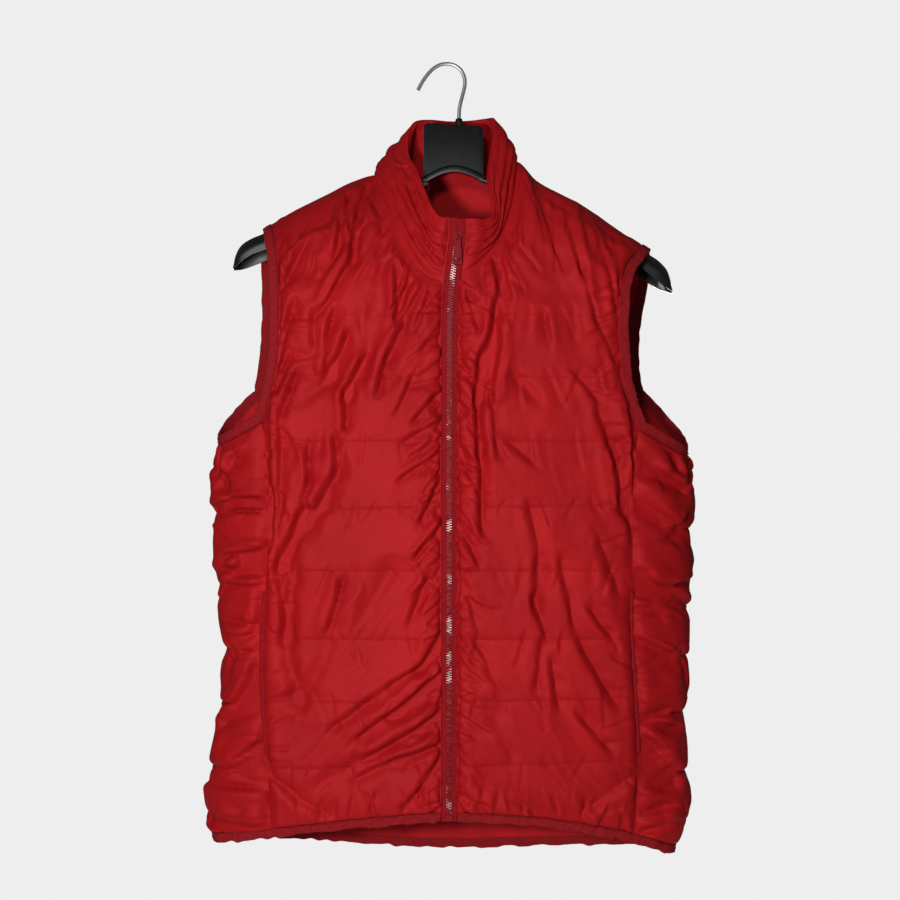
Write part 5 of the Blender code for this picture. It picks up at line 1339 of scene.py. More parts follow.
def band_object(name, path, normals, away, start, width, material, seed, closed, gather):
    """Elastic binding beside a path, with fine uneven gathers across it."""
    run = np.arange(len(path))
    rings = []
    for share, height in BAND_SECTION:
        ripple = gather * noise(run / 1.7, share * 2.0, seed) * (1 if height > 0.5 else 0)
        waist = 0.9 * gather * noise(run / 4.0, 0, seed + 1) * (1 if share > 0.5 else 0)
        rings.append(path + away * (start + share * width + waist)[:, None]
                     + normals * (height * BAND_THICK + ripple)[:, None])
    return loft_object(name, np.stack(rings, 1), material, closed=closed)


def armhole_path(side, cut):
    """Points and directions round an armhole: down the front, under the arm, up the back."""
    front, under, back = cut["front_" + side], cut["side_" + side], cut["back"]
    edge = 0 if side == "left" else -1
    front_corner, back_corner = (ARMHOLE[face, side][-1].z for face in ("front", "back"))
    down = np.flatnonzero(front.points[:, 0, 2] > front_corner)[::-1]
    up = np.flatnonzero(back.points[:-1, edge, 2] > back_corner)
    return (np.concatenate([grids[0][down, 0], grids[1][-1, 2:-2], grids[2][up, edge]])
            for grids in ((front.points, under.points, back.points),
                          (front.normals, under.normals, back.normals)))


def armhole_binding(side, cut, material):
    """The elastic round an armhole, which stands out from its edge."""
    path, normals = even_steps(*armhole_path(side, cut), BAND_STEP, True)
    normals = unit(softened(normals, 4, True))
    away = beside(path, normals, True) * -sign_of(side)
    away = unit(softened(away, 3, True))
    return band_object("bound_armhole_" + side, path, normals, away, GAP, BIND, material,
                       51 + sign_of(side), True, ARM_GATHER)


def hem_path(cut):
    """Points and directions round the hem, from the zip's left side to its right one."""
    front, under, back, far_under, far_front = (
        (cut[name].points[0], cut[name].normals[0])
        for name in ("front_left", "side_left", "back", "side_right", "front_right"))
    path, normals = (np.concatenate([
        front[kind][::-1], under[kind][1:-1], back[kind], far_under[kind][1:-1][::-1],
        far_front[kind]]) for kind in (0, 1))
    path[0, 0] -= HEM_END
    path[-1, 0] += HEM_END
    return path, normals


# ---------------------------------------------------------------- materials

def shade(hex_colour):
    """Linear colour of an sRGB hex value."""
    channels = [int(hex_colour[start:start + 2], 16) / 255 for start in (1, 3, 5)]
    linear = [c / 12.92 if c <= 0.04045 else ((c + 0.055) / 1.055) ** 2.4 for c in channels]
    return (*linear, 1.0)


def shades(name):
    return [shade(hex_colour) for hex_colour in SHADES[name]]


def add_node(tree, kind, settings=None, values=None, links=None):
    """A node with its settings, its sockets' values and what feeds them."""
    node = tree.nodes.new(kind)
    for name, value in (settings or {}).items():
        setattr(node, name, value)
    for name, value in (values or {}).items():
        node.inputs[name].default_value = value
    for name, source in (links or {}).items():
        tree.links.new(source, node.inputs[name])
    return node


def new_material(name, roughness, metallic=0.0, **values):
    """A material, its nodes, its shader and the place on the piece in metres."""
    material = bpy.data.materials.new(name)
    material.use_nodes = True
    shader = material.node_tree.nodes["Principled BSDF"]
    shader.inputs["Roughness"].default_value = roughness
    shader.inputs["Metallic"].default_value = metallic
    for socket, value in values.items():
        shader.inputs[socket.replace("_", " ")].default_value = value
    place = add_node(material.node_tree, "ShaderNodeTexCoord")
    return material, material.node_tree, shader, place.outputs["Object"]


def mottled(tree, shader, where, dark, light, scale, detail=3.0, low=0.3, high=0.7):
    """Base colour that wanders between two shades."""
    cloud = add_node(tree, "ShaderNodeTexNoise", None,
                     {"Scale": scale, "Detail": detail, "Roughness": 0.55}, {"Vector": where})
    ramp = add_node(tree, "ShaderNodeValToRGB", None, None, {"Fac": cloud.outputs["Fac"]})
    for stop, position, colour in zip(ramp.color_ramp.elements, (low, high), (dark, light)):
        stop.position, stop.color = position, colour
    tree.links.new(ramp.outputs["Color"], shader.inputs["Base Color"])
    return cloud


def bumped(tree, shader, height, strength, distance):
    bump = add_node(tree, "ShaderNodeBump", None,
                    {"Strength": strength, "Distance": distance}, {"Height": height})
    tree.links.new(bump.outputs["Normal"], shader.inputs["Normal"])


def satin_nylon(name, sizes):
    """Calendered nylon taffeta: a soft wide sheen over a deep red, and fine crumples."""
    material, tree, shader, where = new_material(
        name, sizes.cloth_roughness, 0.13, Specular_IOR_Level=0.12)
    mottled(tree, shader, where, (*sizes.cloth_dark, 1), (*sizes.cloth_light, 1), 14)
    # crumples 4 to 9 mm across; the weave of about 0.1 mm is too fine to show, so a
    # grain of 0.8 mm stands for it
    crumple = add_node(tree, "ShaderNodeTexNoise", None,
                       {"Scale": 120, "Detail": 4.0, "Roughness": 0.55, "Distortion": 0.8},
                       {"Vector": where})
    grain = add_node(tree, "ShaderNodeTexNoise", None,
                     {"Scale": 1200, "Detail": 0.0}, {"Vector": where})
    both = add_node(tree, "ShaderNodeMath", {"operation": "MULTIPLY_ADD"}, {1: 0.12},
                    {0: grain.outputs["Fac"], 2: crumple.outputs["Fac"]})
    # creases too fine for the mesh, 6 to 15 mm apart, longer upright than across
    stretched = add_node(tree, "ShaderNodeMapping", None,
                         {"Rotation": (0, math.radians(14), 0), "Scale": (1.0, 1.0, 0.4)},
                         {"Vector": where})
    crinkle = add_node(tree, "ShaderNodeTexNoise", {"noise_type": "RIDGED_MULTIFRACTAL"},
                       {"Scale": 55, "Detail": 3.0, "Roughness": 0.45, "Distortion": 0.7},
                       {"Vector": stretched.outputs["Vector"]})
    fine = add_node(tree, "ShaderNodeBump", None, {"Strength": 0.3, "Distance": 0.0010},
                    {"Height": both.outputs["Value"]})
    bump = add_node(tree, "ShaderNodeBump", None, {"Strength": 0.35, "Distance": 0.0012},
                    {"Height": crinkle.outputs["Fac"], "Normal": fine.outputs["Normal"]})
    tree.links.new(bump.outputs["Normal"], shader.inputs["Normal"])
    return material


def lining_nylon(name):
    """Plain nylon lining: duller than the shell, with soft wrinkles. Its red is painted lighter
    than the shell's, as painted light for the shaded inside under the hem and in the neck.
    """
    material, tree, shader, where = new_material(name, 0.75, Specular_IOR_Level=0.1)
    mottled(tree, shader, where, *shades("lining"), 30)
    stretched = add_node(tree, "ShaderNodeMapping", None, {"Scale": (1.0, 1.0, 0.35)},
                         {"Vector": where})
    wrinkle = add_node(tree, "ShaderNodeTexNoise", None,
                       {"Scale": 70, "Detail": 3.0, "Distortion": 0.6},
                       {"Vector": stretched.outputs["Vector"]})
    bumped(tree, shader, wrinkle.outputs["Fac"], 0.7, 0.004)
    return material


def elastic_binding(name):
    """Knitted elastic tape: matt, a little darker than the shell, ribbed along its edge."""
    material, tree, shader, where = new_material(name, 0.85, Specular_IOR_Level=0.15)
    mottled(tree, shader, where, *shades("binding"), 420, 2.0)
    knit = add_node(tree, "ShaderNodeTexVoronoi", {"feature": "F1"}, {"Scale": 900},
                    {"Vector": where})
    bumped(tree, shader, knit.outputs["Distance"], 0.5, 0.0006)
    return material


def woven_tape(name):
    """Polyester zip tape: herringbone woven, lighter and pinker than the shell."""
    material, tree, shader, where = new_material(name, 0.8, Specular_IOR_Level=0.1)
    mottled(tree, shader, where, *shades("tape"), 300, 2.0)
    # ribs every 0.9 mm, slanted as in a twill
    turned = add_node(tree, "ShaderNodeMapping", None,
                      {"Rotation": (0, math.radians(35), 0)}, {"Vector": where})
    ribs = add_node(tree, "ShaderNodeTexWave", {"bands_direction": "Z"},
                    {"Scale": 350, "Distortion": 0.6, "Detail": 1.0},
                    {"Vector": turned.outputs["Vector"]})
    bumped(tree, shader, ribs.outputs["Fac"], 0.6, 0.0005)
    return material


def sewing_thread(name, colour):
    """Polyester thread: twisted, so it glints a little along each stitch."""
    material, tree, shader, where = new_material(name, 0.7, Specular_IOR_Level=0.15)
    mottled(tree, shader, where, shade(colour), shade(colour), 900)
    return material


def zip_metal(name):
    """Lacquered zinc teeth: pale patches painted into the red lacquer are painted highlights that
    stand in for glints on the crowns, and are made partly metallic.
    """
    material, tree, shader, where = new_material(name, 0.35, Specular_IOR_Level=0.3)
    # painted highlight: the noise picks where along the chain the pale glint patches lie
    glint_patches = mottled(tree, shader, where, *shades("teeth"), 44, 5.0, 0.54, 0.59)
    glint_metallic = add_node(tree, "ShaderNodeMapRange", None,
                    {"From Min": 0.53, "From Max": 0.62, "To Min": 0.0, "To Max": 0.5},
                    {"Value": glint_patches.outputs["Fac"]})
    tree.links.new(glint_metallic.outputs["Result"], shader.inputs["Metallic"])
    return material


def enamel(name):
    """Baked enamel on die-cast zinc: pinkish red, with a fine grain."""
    material, tree, shader, where = new_material(name, 0.6, Specular_IOR_Level=0.08)
    cloud = mottled(tree, shader, where, *shades("enamel"), 500, 2.0)
    bumped(tree, shader, cloud.outputs["Fac"], 0.15, 0.0003)
    return material


def moulded_plastic(name, roughness, grain, gloss):
    """Injection-moulded polystyrene: near black, glossy arms and a finely matted plate."""
    material, tree, shader, where = new_material(name, roughness, Specular_IOR_Level=gloss)
    mottled(tree, shader, where, *shades("plastic"), 60)
    skin = add_node(tree, "ShaderNodeTexNoise", None, {"Scale": 700, "Detail": 2.0},
                    {"Vector": where})
    bumped(tree, shader, skin.outputs["Fac"], grain, 0.0004)
    return material


def bright_wire(name):
    """Nickel-plated steel wire with fine drawing marks."""
    material, tree, shader, where = new_material(name, 0.42, 1.0)
    cloud = mottled(tree, shader, where, *shades("wire"), 180, 3.0)
    bumped(tree, shader, cloud.outputs["Fac"], 0.12, 0.0003)
    return material


# ---------------------------------------------------------------- repeated small pieces

def line_object(name, path):
    """Bare edges along a path in millimetres, for the geometry nodes to follow."""
    data = bpy.data.meshes.new(name)
    path = np.asarray(path, float) * MM
    data.from_pydata(path.tolist(), [(i, i + 1) for i in range(len(path) - 1)], [])
    return linked(name, data)


def repeat_tree(name, shapes, material):
    """Geometry nodes that set a small shape along a path at an even pitch.

    shapes are boxes as (size, middle) in metres, with X across the path, Z along it
    and -Y out of the cloth. Every second copy is turned half round if Alternate is 1.
    """
    tree = bpy.data.node_groups.new(name, "GeometryNodeTree")
    tree.interface.new_socket("Path", in_out="INPUT", socket_type="NodeSocketGeometry")
    for label, value in (("Pitch", 0.003), ("Scale", 1.0), ("Alternate", 0.0),
                         ("Unevenness", 0.0)):
        socket = tree.interface.new_socket(label, in_out="INPUT",
                                           socket_type="NodeSocketFloat")
        socket.default_value = value
    tree.interface.new_socket("Pieces", in_out="OUTPUT", socket_type="NodeSocketGeometry")
    inputs = add_node(tree, "NodeGroupInput").outputs
    curve = add_node(tree, "GeometryNodeMeshToCurve", None, None, {"Mesh": inputs["Path"]})
    even = add_node(tree, "GeometryNodeResampleCurve", {"mode": "LENGTH"}, None,
                    {"Curve": curve.outputs["Curve"], "Length": inputs["Pitch"]})
    join = add_node(tree, "GeometryNodeJoinGeometry")
    for size, middle in shapes:
        block = add_node(tree, "GeometryNodeMeshCube", None, {"Size": size})
        placed = add_node(tree, "GeometryNodeTransform", None, {"Translation": middle},
                          {"Geometry": block.outputs["Mesh"]})
        tree.links.new(placed.outputs["Geometry"], join.inputs["Geometry"])
    tangent = add_node(tree, "GeometryNodeInputTangent")
    facing = add_node(tree, "FunctionNodeAlignRotationToVector", {"axis": "Z"}, None,
                      {"Vector": tangent.outputs["Tangent"]})
    index = add_node(tree, "GeometryNodeInputIndex")
    odd = add_node(tree, "ShaderNodeMath", {"operation": "MODULO"}, {1: 2.0},
                   {0: index.outputs["Index"]})
    half_turn = add_node(tree, "ShaderNodeMath", {"operation": "MULTIPLY"}, {1: math.pi},
                         {0: odd.outputs["Value"]})
    turned = add_node(tree, "ShaderNodeMath", {"operation": "MULTIPLY"}, None,
                      {0: half_turn.outputs["Value"], 1: inputs["Alternate"]})
    jitter = add_node(tree, "FunctionNodeRandomValue", {"data_type": "FLOAT"},
                      {2: -1.0, 3: 1.0, "Seed": 7})
    lean = add_node(tree, "ShaderNodeMath", {"operation": "MULTIPLY"}, None,
                    {0: jitter.outputs[1], 1: inputs["Unevenness"]})
    angles = add_node(tree, "ShaderNodeCombineXYZ", None, None,
                      {"X": lean.outputs["Value"], "Z": turned.outputs["Value"]})
    local = add_node(tree, "FunctionNodeEulerToRotation", None, None,
                     {"Euler": angles.outputs["Vector"]})
    spin = add_node(tree, "FunctionNodeRotateRotation", {"rotation_space": "LOCAL"}, None,
                    {"Rotation": facing.outputs["Rotation"],
                     "Rotate By": local.outputs["Rotation"]})
    copies = add_node(tree, "GeometryNodeInstanceOnPoints", None, None,
                      {"Points": even.outputs["Curve"], "Instance": join.outputs["Geometry"],
                       "Rotation": spin.outputs["Rotation"], "Scale": inputs["Scale"]})
    real = add_node(tree, "GeometryNodeRealizeInstances", None, None,
                    {"Geometry": copies.outputs["Instances"]})
    painted = add_node(tree, "GeometryNodeSetMaterial", None, {"Material": material},
                       {"Geometry": real.outputs["Geometry"]})
    add_node(tree, "NodeGroupOutput", None, None, {"Pieces": painted.outputs["Geometry"]})
    return tree


def repeated(name, path, tree, values, material):
    """The copies along a path as one plain mesh."""
    line = line_object(name + "_line", path)
    nodes = line.modifiers.new("repeat", "NODES")
    nodes.node_group = tree
    for socket in tree.interface.items_tree:
        if socket.in_out == "INPUT" and socket.name in values:
            nodes[socket.identifier] = float(values[socket.name])
    graph = bpy.context.evaluated_depsgraph_get()
    data = bpy.data.meshes.new_from_object(line.evaluated_get(graph))
    bpy.data.objects.remove(line)
    if not data.polygons:
        raise RuntimeError(f"{name}: the nodes made nothing")
    data.name = name
    coat(data, material)
    return linked(name, data)


def joined(name, items):
    """One object from several meshes with the same material."""
    mesh = bmesh.new()
    material = items[0].data.materials[0]
    for item in items:
        mesh.from_mesh(item.data)
        bpy.data.objects.remove(item)
    data = bpy.data.meshes.new(name)
    mesh.to_mesh(data)
    mesh.free()
    data.materials.append(material)
    return linked(name, data)


STITCH = [((0.0005, 0.0005, 0.0021), (0, 0, 0))]
TOOTH = [((0.0022, 0.0014, 0.0009), (-0.00145, 0, 0)),
         ((0.0009, 0.0017, 0.0009), (-0.0001, 0, 0))]


def sew(name, path, material, tree, pitch):
    """A row of stitches along a path."""
    return repeated(name, path, tree, {"Pitch": pitch * MM, "Unevenness": 0.08}, material)


# ---------------------------------------------------------------- settings and operators

class VestSizes(bpy.types.PropertyGroup):
    """Sizes and colours that a user would change."""

    cloth_grid: FloatProperty(
        name="Cloth grid", description="Distance between the points of the cloth",
        default=1.4 * MM, min=1.2 * MM, max=12 * MM, unit="LENGTH")
    back_grid: FloatProperty(
        name="Back grid", description="Distance between the points of the back",
        default=2.0 * MM, min=1.6 * MM, max=12 * MM, unit="LENGTH")
    cloth_roughness: FloatProperty(
        name="Cloth roughness", description="How wide the sheen of the shell is",
        default=0.62, min=0.1, max=1.0, subtype="FACTOR")
    cloth_light: FloatVectorProperty(
        name="Cloth, light", description="Lighter shade of the shell", subtype="COLOR",
        default=shade("#B4161B")[:3], min=0, max=1)
    cloth_dark: FloatVectorProperty(
        name="Cloth, dark", description="Darker shade of the shell", subtype="COLOR",
        default=shade("#A51218")[:3], min=0, max=1)
    tooth_pitch: FloatProperty(
        name="Tooth pitch", description="From one zip tooth to the next",
        default=1.22 * MM, min=0.8 * MM, max=4 * MM, unit="LENGTH")
    stitch_pitch: FloatProperty(
        name="Stitch pitch", description="From one stitch to the next",
        default=3.0 * MM, min=1 * MM, max=8 * MM, unit="LENGTH")
    arm_steps: IntProperty(
        name="Hanger steps", description="Sections between two marks of a hanger arm",
        default=5, min=1, max=12)


def settings():
    return bpy.context.scene.vest_sizes


panels = {}


def shape_panels(fine, back_fine):
    """All the panels at a distance between their points."""
    shaped = {}
    for side in SIDES:
        shaped["front_" + side] = front_panel(side, fine)
        shaped["side_" + side] = side_panel(side, fine)
    shaped["back"] = back_panel(back_fine)
    shaped["collar"] = collar_panel(fine)
    return shaped


def cut_panels():
    """Works out the cloth once for all the operators."""
    if not panels:
        sizes = settings()
        panels.update(shape_panels(sizes.cloth_grid / MM, sizes.back_grid / MM))
        for name, move in settle(shape_panels(SOFT_GRID, SOFT_GRID)).items():
            panels[name].outside += resized(move, *panels[name].outside.shape[:2])
        for name, panel in panels.items():
            panel.outside = panel.outside + panel.normals * panel.detail[..., None]
            height = np.sum((panel.outside - panel.inside) * panel.normals, -1, keepdims=True)
            panel.outside = panel.outside + panel.normals * np.maximum(SLIM - height, 0)
            if name.startswith("front"):
                panel.outside[..., 0] -= sign_of(name[6:]) * zip_lip(panel)
    return panels


def zip_lip(panel):
    """How far a front's puffed edge leans out over the zip tape, unevenly."""
    to_zip = np.linalg.norm(panel.points - panel.points[:, -1:], axis=-1)
    z = panel.points[..., 2]
    height = np.sum((panel.outside - panel.inside) * panel.normals, -1)
    full = np.clip((height - WALL) / PUFF, 0, 1)
    lean = 1.6 + 1.4 * noise(z / 9, 0 * z, 21) + 0.6 * noise(z / 3.5, 0 * z, 22)
    return np.maximum(lean, 0) * bell(to_zip - 4, 5) * np.sqrt(full)


def dress(item, node, body=BODY_NAME):
    """The piece takes its node's place."""
    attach(item, body)
    if node:
        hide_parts(node)


class VEST_OT_cloth(bpy.types.Operator):
    """Makes the fronts, the sides, the back and the collar"""

    bl_idname = "vest.cloth"
    bl_label = "Cloth"

    def execute(self, context):
        sizes = settings()
        cut = cut_panels()
        shell = satin_nylon("calendered nylon taffeta", sizes)
        lining = lining_nylon("plain nylon lining")
        cuts = {            # width, length and flat area of each cut, in metres
            "front_left": (0.205, 0.665, 0.120), "front_right": (0.205, 0.680, 0.122),
            "side_left": (0.125, 0.480, 0.058), "side_right": (0.125, 0.480, 0.058),
            "back": (0.400, 0.700, 0.245), "collar": (0.430, 0.085, 0.028),
        }
        for name, (width, length, area) in cuts.items():
            item = wall_object("shell_" + name, cut[name], shell, lining)
            dress(item, name)
        return {"FINISHED"}


class VEST_OT_bindings(bpy.types.Operator):
    """Makes the elastic bindings of the armholes and the hem, with their stitches"""

    bl_idname = "vest.bindings"
    bl_label = "Bindings"

    def execute(self, context):
        sizes = settings()
        cut = cut_panels()
        tape = elastic_binding("knitted elastic tape")
        thread = sewing_thread("dark red thread", BINDING_THREAD)
        tree = repeat_tree("Binding stitches", STITCH, thread)
        pitch = sizes.stitch_pitch / MM
        stitches = []
        for side in SIDES:
            dress(armhole_binding(side, cut, tape), "armhole_binding_" + side)
            path, normals = even_steps(*armhole_path(side, cut), SEAM_STEP, True)
            away = beside(path, normals, True) * -sign_of(side)
            line = path + away * ARM_STITCH[0] + normals * ARM_STITCH[1]
            stitches.append(sew("armhole_stitches_" + side, line, thread, tree, pitch))
        path, normals = even_steps(*hem_path(cut), BAND_STEP, False)
        normals = unit(softened(normals, 3, False))
        away = beside(path, normals, False)
        away = away * np.where(away[:, 2:] > 0, -1, 1)
        away[0, 0] = away[-1, 0] = 0
        hem = band_object("bound_hem", path, normals, away, GAP / 2, BAND - GAP / 2, tape, 61,
                          False, HEM_GATHER)
        dress(hem, "hem_binding")
        line = path + away * HEM_STITCH[0] + normals * HEM_STITCH[1]
        stitches.append(sew("hem_stitches", line[2:-2], thread, tree, pitch))
        dress(joined("binding_stitches", stitches), None)
        return {"FINISHED"}


# share of the width and of the thickness
TAPE_SECTION = ((0, 0.0), (1, 0.0), (1, 0.8), (0.9, 1), (0.55, 0.92), (0.5, 1.0), (0.12, 1),
                (0, 0.8))
TAPE_SEAMS = (3.9, 6.6)     # from the zip's middle
TAPE_COUNT = 300    # sections along the tape
SEAM_END = 3.0      # of the tape at each end is left without stitches
SEAM_OUT = 0.25     # from the tape's face to the middle of its stitches
TEETH_OUT = 1.15
TEETH_COUNT = 400
TEETH_END = 0.8     # from the box and from the slider to the chain


def zip_tape(side, z, material):
    """One tape of the front zip, a little wavy beside its teeth."""
    turn = sign_of(side)
    ripple = 0.35 * noise(z / 7, 0, 71 + turn)
    rings = []
    for share, lift in TAPE_SECTION:
        x = zip_x(z) + turn * mix(GAP / 2, ZIP_HALF - GAP, share)
        depth = zip_front_y(z) - lift * TAPE_THICK - (ripple if lift and share > 0.4 else 0)
        rings.append(np.stack([x, depth, z], -1))
    return loft_object("tape_" + side, np.stack(rings, 1), material)


def zip_teeth(tooth_pitch):
    """The chain of teeth between the box at the foot and the slider."""
    metal = zip_metal("lacquered zinc")
    tree = repeat_tree("Zip teeth", TOOTH, metal)
    low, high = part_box("zip_stop")[1].z / MM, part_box("zip_slider")[0].z / MM
    z = np.linspace(low + TEETH_END, high - TEETH_END, TEETH_COUNT)
    path = np.stack([zip_x(z), zip_front_y(z) - TAPE_THICK - TEETH_OUT, z], -1)
    values = {"Pitch": tooth_pitch, "Alternate": 1.0, "Unevenness": 0.16}
    return repeated("zip_teeth", path, tree, values, metal)


class VEST_OT_zip(bpy.types.Operator):
    """Makes the zip's tapes, teeth and stitches and finishes its hardware"""

    bl_idname = "vest.zip"
    bl_label = "Zip"

    def execute(self, context):
        sizes = settings()
        tape = woven_tape("woven polyester tape")
        thread = sewing_thread("red thread", TAPE_THREAD)
        foot = read(HEM_FRONT, "z", 0)
        seams = []
        for side in SIDES:
            head = read(COLLAR, "tz", ZIP_STATIONS[side])
            z = np.linspace(foot, head, TAPE_COUNT)
            dress(zip_tape(side, z, tape), "zip_tape_" + side)
            sewn = z[(z < head - SEAM_END) & (z > foot + SEAM_END)]
            seams += [np.stack([zip_x(sewn) + sign_of(side) * reach,
                                zip_front_y(sewn) - TAPE_THICK - SEAM_OUT, sewn], -1)
                      for reach in TAPE_SEAMS]
        tree = repeat_tree("Tape stitches", STITCH, thread)
        stitches = [sew(f"tape_stitches_{number}", seam, thread, tree,
                        sizes.stitch_pitch / MM) for number, seam in enumerate(seams)]
        dress(joined("tape_stitches", stitches), None)
        dress(zip_teeth(sizes.tooth_pitch), None)
        paint = enamel("baked enamel")
        for node in ("zip_slider", "zip_pull_tab", "zip_stop"):
            coat(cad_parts[node].data, paint)
        for side in SIDES:
            dress(pocket_zip(side, tape), "pocket_zip_" + side)
        return {"FINISHED"}


def pocket_zip(side, material):
    """Closed pocket zip over the seam of front and side: two tapes and a fine chain."""
    z = np.linspace(POCKET_FOOT, POCKET_TOP, POCKET_COUNT)
    points = face_points("front", edge_x("front", side, z), z)
    normals = oval_normals(points)
    across = unit(np.cross(normals, [0, 0, 1]))
    share = np.linspace(0, 1, len(z))
    half = POCKET_WIDTH / 2 * np.sin(math.pi * np.clip(share, 0.02, 0.98)) ** 0.15
    chain = POCKET_CHAIN[0] * np.sin(2 * math.pi * z / POCKET_CHAIN[1])
    rings = []
    for reach, lift in POCKET_SECTION:
        height = WALL + GAP + POCKET_THICK * lift + (chain if lift == 1 else 0)
        rings.append(points + across * (reach * half)[:, None]
                     + normals * (height + 0 * z)[:, None])
    return loft_object("pocket_tape_" + side, np.stack(rings, 1), material)


def arm_ring(arm):
    """Section of a hanger arm: a rounded roof with two lips, open below."""
    half = arm.half
    shoulder = 0.55 * half
    roof = -shoulder * ARM_ROOF - 0.3
    eave = max(-half * ARM_ROOF - 3.5, (arm.front - arm.ridge) * 0.62)
    inner = half - ARM_WALL
    ceiling = max(eave - 1.4, (arm.front - arm.ridge) * 0.72)
    front, rear = arm.front - arm.ridge, arm.rear - arm.ridge
    over = [(-half, front), (-half, mix(front, eave, 0.6)), (-half, eave),
            (-0.9 * half, mix(eave, roof, 0.45)), (-shoulder, roof), (-0.3 * half, -0.45),
            (0, 0), (0.3 * half, -0.45), (shoulder, roof), (0.9 * half, mix(eave, roof, 0.45)),
            (half, eave), (half, mix(rear, eave, 0.6)), (half, rear)]
    under = [(inner, rear), (inner, ceiling), (0, -ARM_WALL - 1.2), (-inner, ceiling),
             (-inner, front)]
    return [(arm.x, y, arm.ridge + z) for y, z in over + under]


def arm_rings(side, steps):
    """Sections of a hanger arm from the plate over the shoulder to the rounded tip."""
    root = ARM_ROOT[side]
    neck = neck_x(side)
    shoulder_x = sign_of(side) * ARMHOLE["front", side][0].x
    marks = [root]
    for share in SHOULDER_MARKS[::-1]:
        x = mix(shoulder_x, neck, share)
        ridge = (float(read(SHOULDER, "z", x)) - ARM_DROP
                 - ARM_NECK_DROP * bell(x - neck, NECK_BELL))
        out = (x - root.x) / (shoulder_x - root.x)
        marks.append(Arm(x, ridge,
                         ridge + mix(root.front - root.ridge, ARM_AT_SHOULDER.front, out),
                         ridge + mix(root.rear - root.ridge, ARM_AT_SHOULDER.rear, out),
                         mix(root.half, ARM_AT_SHOULDER.half, out)))
    marks += ARM_TIP[side]
    table = [Mark(run, *mark) for run, mark in enumerate(marks)]
    runs = np.linspace(0, len(marks) - 1, (len(marks) - 1) * steps + 1)
    rings = [arm_ring(Arm(*(float(read(table, column, run)) for column in Arm._fields)))
             for run in runs]
    last = marks[-1]
    tip = arm_ring(Arm(last.x + sign_of(side) * 0.6, last.ridge - 1.5, last.front,
                       last.rear, last.half * 0.7))
    return rings + [tip]


class VEST_OT_hanger(bpy.types.Operator):
    """Makes the moulded hanger and finishes its wire hook"""

    bl_idname = "vest.hanger"
    bl_label = "Hanger"

    def execute(self, context):
        gloss = moulded_plastic("glossy polystyrene", 0.34, 0.06, 0.35)
        matt = moulded_plastic("matted polystyrene", 0.5, 0.35, 0.2)
        steps = settings().arm_steps
        for side in SIDES:
            item = loft_object("hanger_arm_" + side, arm_rings(side, steps), gloss)
            dress(item, "hanger_body")
        for item in (hanger_plate(matt), hanger_rim(gloss), hanger_boss(gloss)):
            dress(item, None)
        coat(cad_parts["hanger_hook"].data, bright_wire("nickel-plated wire"))
        return {"FINISHED"}


def arch(share):
    """Height of the arch under the plate."""
    return mix(ARCH_END_LEFT, ARCH_END_RIGHT, share) + ARCH_RISE * np.sin(math.pi * share)


def hanger_plate(material):
    """Middle plate with rounded upper corners and softened edges."""
    share = np.linspace(0, 1, PLATE_COUNT)
    x = mix(PLATE_LEFT, PLATE_RIGHT, share)
    from_end = np.minimum(x - PLATE_LEFT, PLATE_RIGHT - x)
    inset = np.maximum(PLATE_CORNER - from_end, 0)
    round_off = PLATE_CORNER - np.sqrt(np.maximum(PLATE_CORNER ** 2 - inset ** 2, 0))
    top = mix(PLATE_TOP_LEFT, PLATE_TOP_RIGHT, share) - round_off
    low = arch(share) + 1
    bevel, drop = PLATE_BEVEL
    rings = [np.stack([x, y + 0 * x, z], -1) for y, z in (
        (-PLATE_HALF + bevel, top), (-PLATE_HALF, top - drop), (-PLATE_HALF, low),
        (PLATE_HALF, low), (PLATE_HALF, top - drop), (PLATE_HALF - bevel, top))]
    return loft_object("hanger_plate", np.stack(rings, 1), material)


def hanger_rim(material):
    """Rounded rim along the arch under the plate."""
    share = np.linspace(0, 1, PLATE_COUNT)
    x = mix(PLATE_LEFT, PLATE_RIGHT, share)
    low = arch(share)
    rings = [np.stack([x, y * RIM_HALF + 0 * x, low + z * RIM], -1) for y, z in RIM_SECTION]
    return loft_object("hanger_rim", np.stack(rings, 1), material)


def hanger_boss(material):
    """Round socket that the wire stands in."""
    angles = np.linspace(0, 2 * math.pi, BOSS_SIDES, endpoint=False)
    rings = [np.stack([BOSS_X + BOSS_RADIUS * radius * np.cos(angles),
                       BOSS_RADIUS * radius * np.sin(angles),
                       BOSS_TOP + z + 0 * angles], -1) for z, radius in BOSS_RINGS]
    return loft_object("hanger_boss", np.stack(rings), material)


class VEST_OT_studio(bpy.types.Operator):
    """Makes the floor, the pale surroundings, the lights and the camera"""

    bl_idname = "vest.studio"
    bl_label = "Studio"

    def execute(self, context):
        scene = context.scene
        scene.view_settings.view_transform = "Standard"
        camera = linked("camera", bpy.data.cameras.new("camera"))
        camera.data.lens = CAMERA_LENS
        camera.data.sensor_width = CAMERA_SENSOR
        camera.location = Vector(CAMERA_AT) * MM
        camera.rotation_euler = (math.radians(90), 0, 0)
        scene.camera = camera
        backdrop(scene)
        floor_disc()
        for values in LAMPS:
            lamp(*values)
        return {"FINISHED"}


def backdrop(scene):
    """Pale surroundings that show as an even light grey and light the cloth less."""
    world = bpy.data.worlds.new("studio")
    world.use_nodes = True
    scene.world = world
    tree = world.node_tree
    tree.nodes.clear()
    path = add_node(tree, "ShaderNodeLightPath")
    seen, lit = (add_node(tree, "ShaderNodeBackground", None,
                          {"Color": shade(SURROUND), "Strength": strength})
                 for strength in (1.0, SURROUND_LIGHT))
    both = add_node(tree, "ShaderNodeMixShader", None, None,
                    {"Fac": path.outputs["Is Camera Ray"], 1: lit.outputs["Background"],
                     2: seen.outputs["Background"]})
    add_node(tree, "ShaderNodeOutputWorld", None, None, {"Surface": both.outputs["Shader"]})


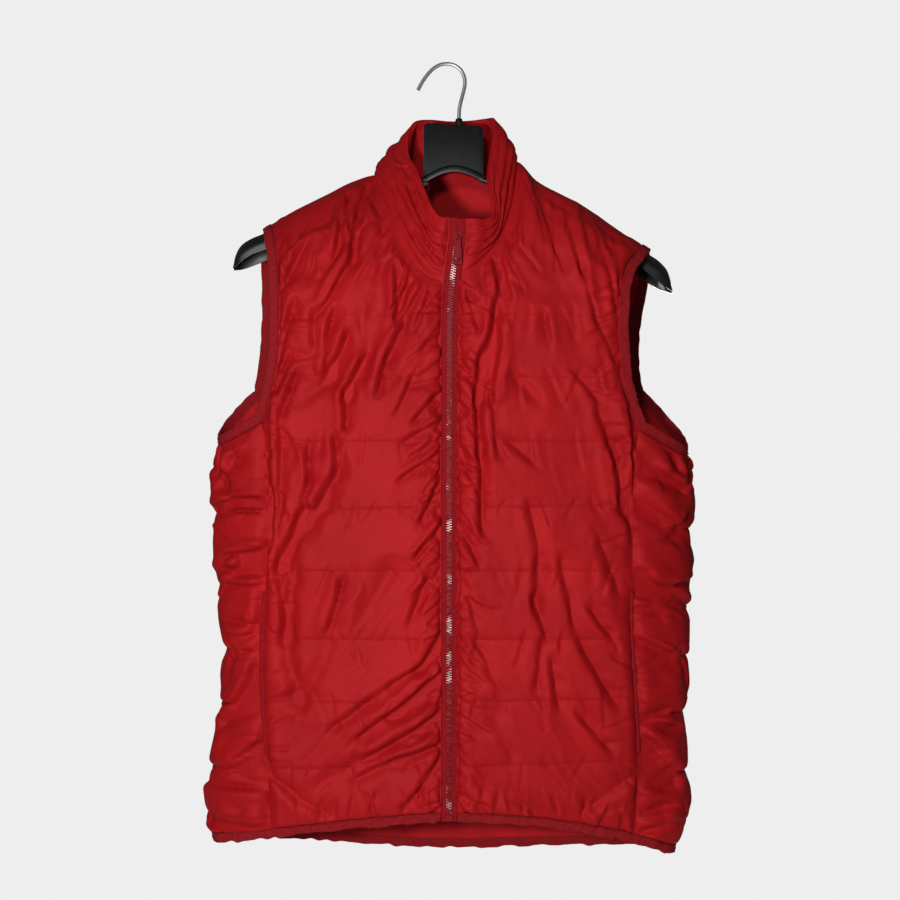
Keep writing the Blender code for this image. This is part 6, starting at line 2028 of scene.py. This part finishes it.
def floor_disc():
    """Plain round floor."""
    angles = np.linspace(0, 2 * math.pi, FLOOR_SIDES, endpoint=False)
    rim = np.stack([FLOOR_RADIUS * np.cos(angles), FLOOR_RADIUS * np.sin(angles),
                    FLOOR_LEVEL + 0 * angles], -1)
    material, tree, shader, where = new_material("matt white paint", 0.9)
    mottled(tree, shader, where, *shades("floor"), 3)
    item = mesh_object("floor", rim, [list(range(FLOOR_SIDES))], material)
    if item.data.polygons[0].normal.z < 0:
        item.data.flip_normals()


def lamp(name, place, size, power):
    """Round soft light that looks at the middle of the vest."""
    light = bpy.data.lights.new(name, "AREA")
    light.shape = "DISK"
    light.size = size
    light.energy = power
    item = linked(name, light)
    item.location = place
    item.rotation_euler = (Vector(LAMP_TARGET) - Vector(place)).to_track_quat(
        "-Z", "Y").to_euler()


class VEST_PT_panel(bpy.types.Panel):
    """Sizes of the vest and the buttons that build it"""

    bl_label = "Vest"
    bl_idname = "VEST_PT_panel"
    bl_space_type = "VIEW_3D"
    bl_region_type = "UI"
    bl_category = "Vest"

    def draw(self, context):
        sizes = context.scene.vest_sizes
        for name in ("cloth_grid", "back_grid", "cloth_roughness", "cloth_light", "cloth_dark",
                     "tooth_pitch", "stitch_pitch", "arm_steps"):
            self.layout.prop(sizes, name)
        for operator in OPERATORS:
            self.layout.operator(operator.bl_idname)


OPERATORS = (VEST_OT_cloth, VEST_OT_bindings, VEST_OT_zip, VEST_OT_hanger, VEST_OT_studio)
CLASSES = (VestSizes, *OPERATORS, VEST_PT_panel)


def register():
    for item in CLASSES:
        bpy.utils.register_class(item)
    bpy.types.Scene.vest_sizes = PointerProperty(type=VestSizes)


def unregister():
    del bpy.types.Scene.vest_sizes
    for item in reversed(CLASSES):
        bpy.utils.unregister_class(item)


def main():
    """Builds everything."""
    register()
    bpy.ops.vest.cloth()
    bpy.ops.vest.bindings()
    bpy.ops.vest.zip()
    bpy.ops.vest.hanger()
    bpy.ops.vest.studio()


if __name__ == "__main__":
    main()
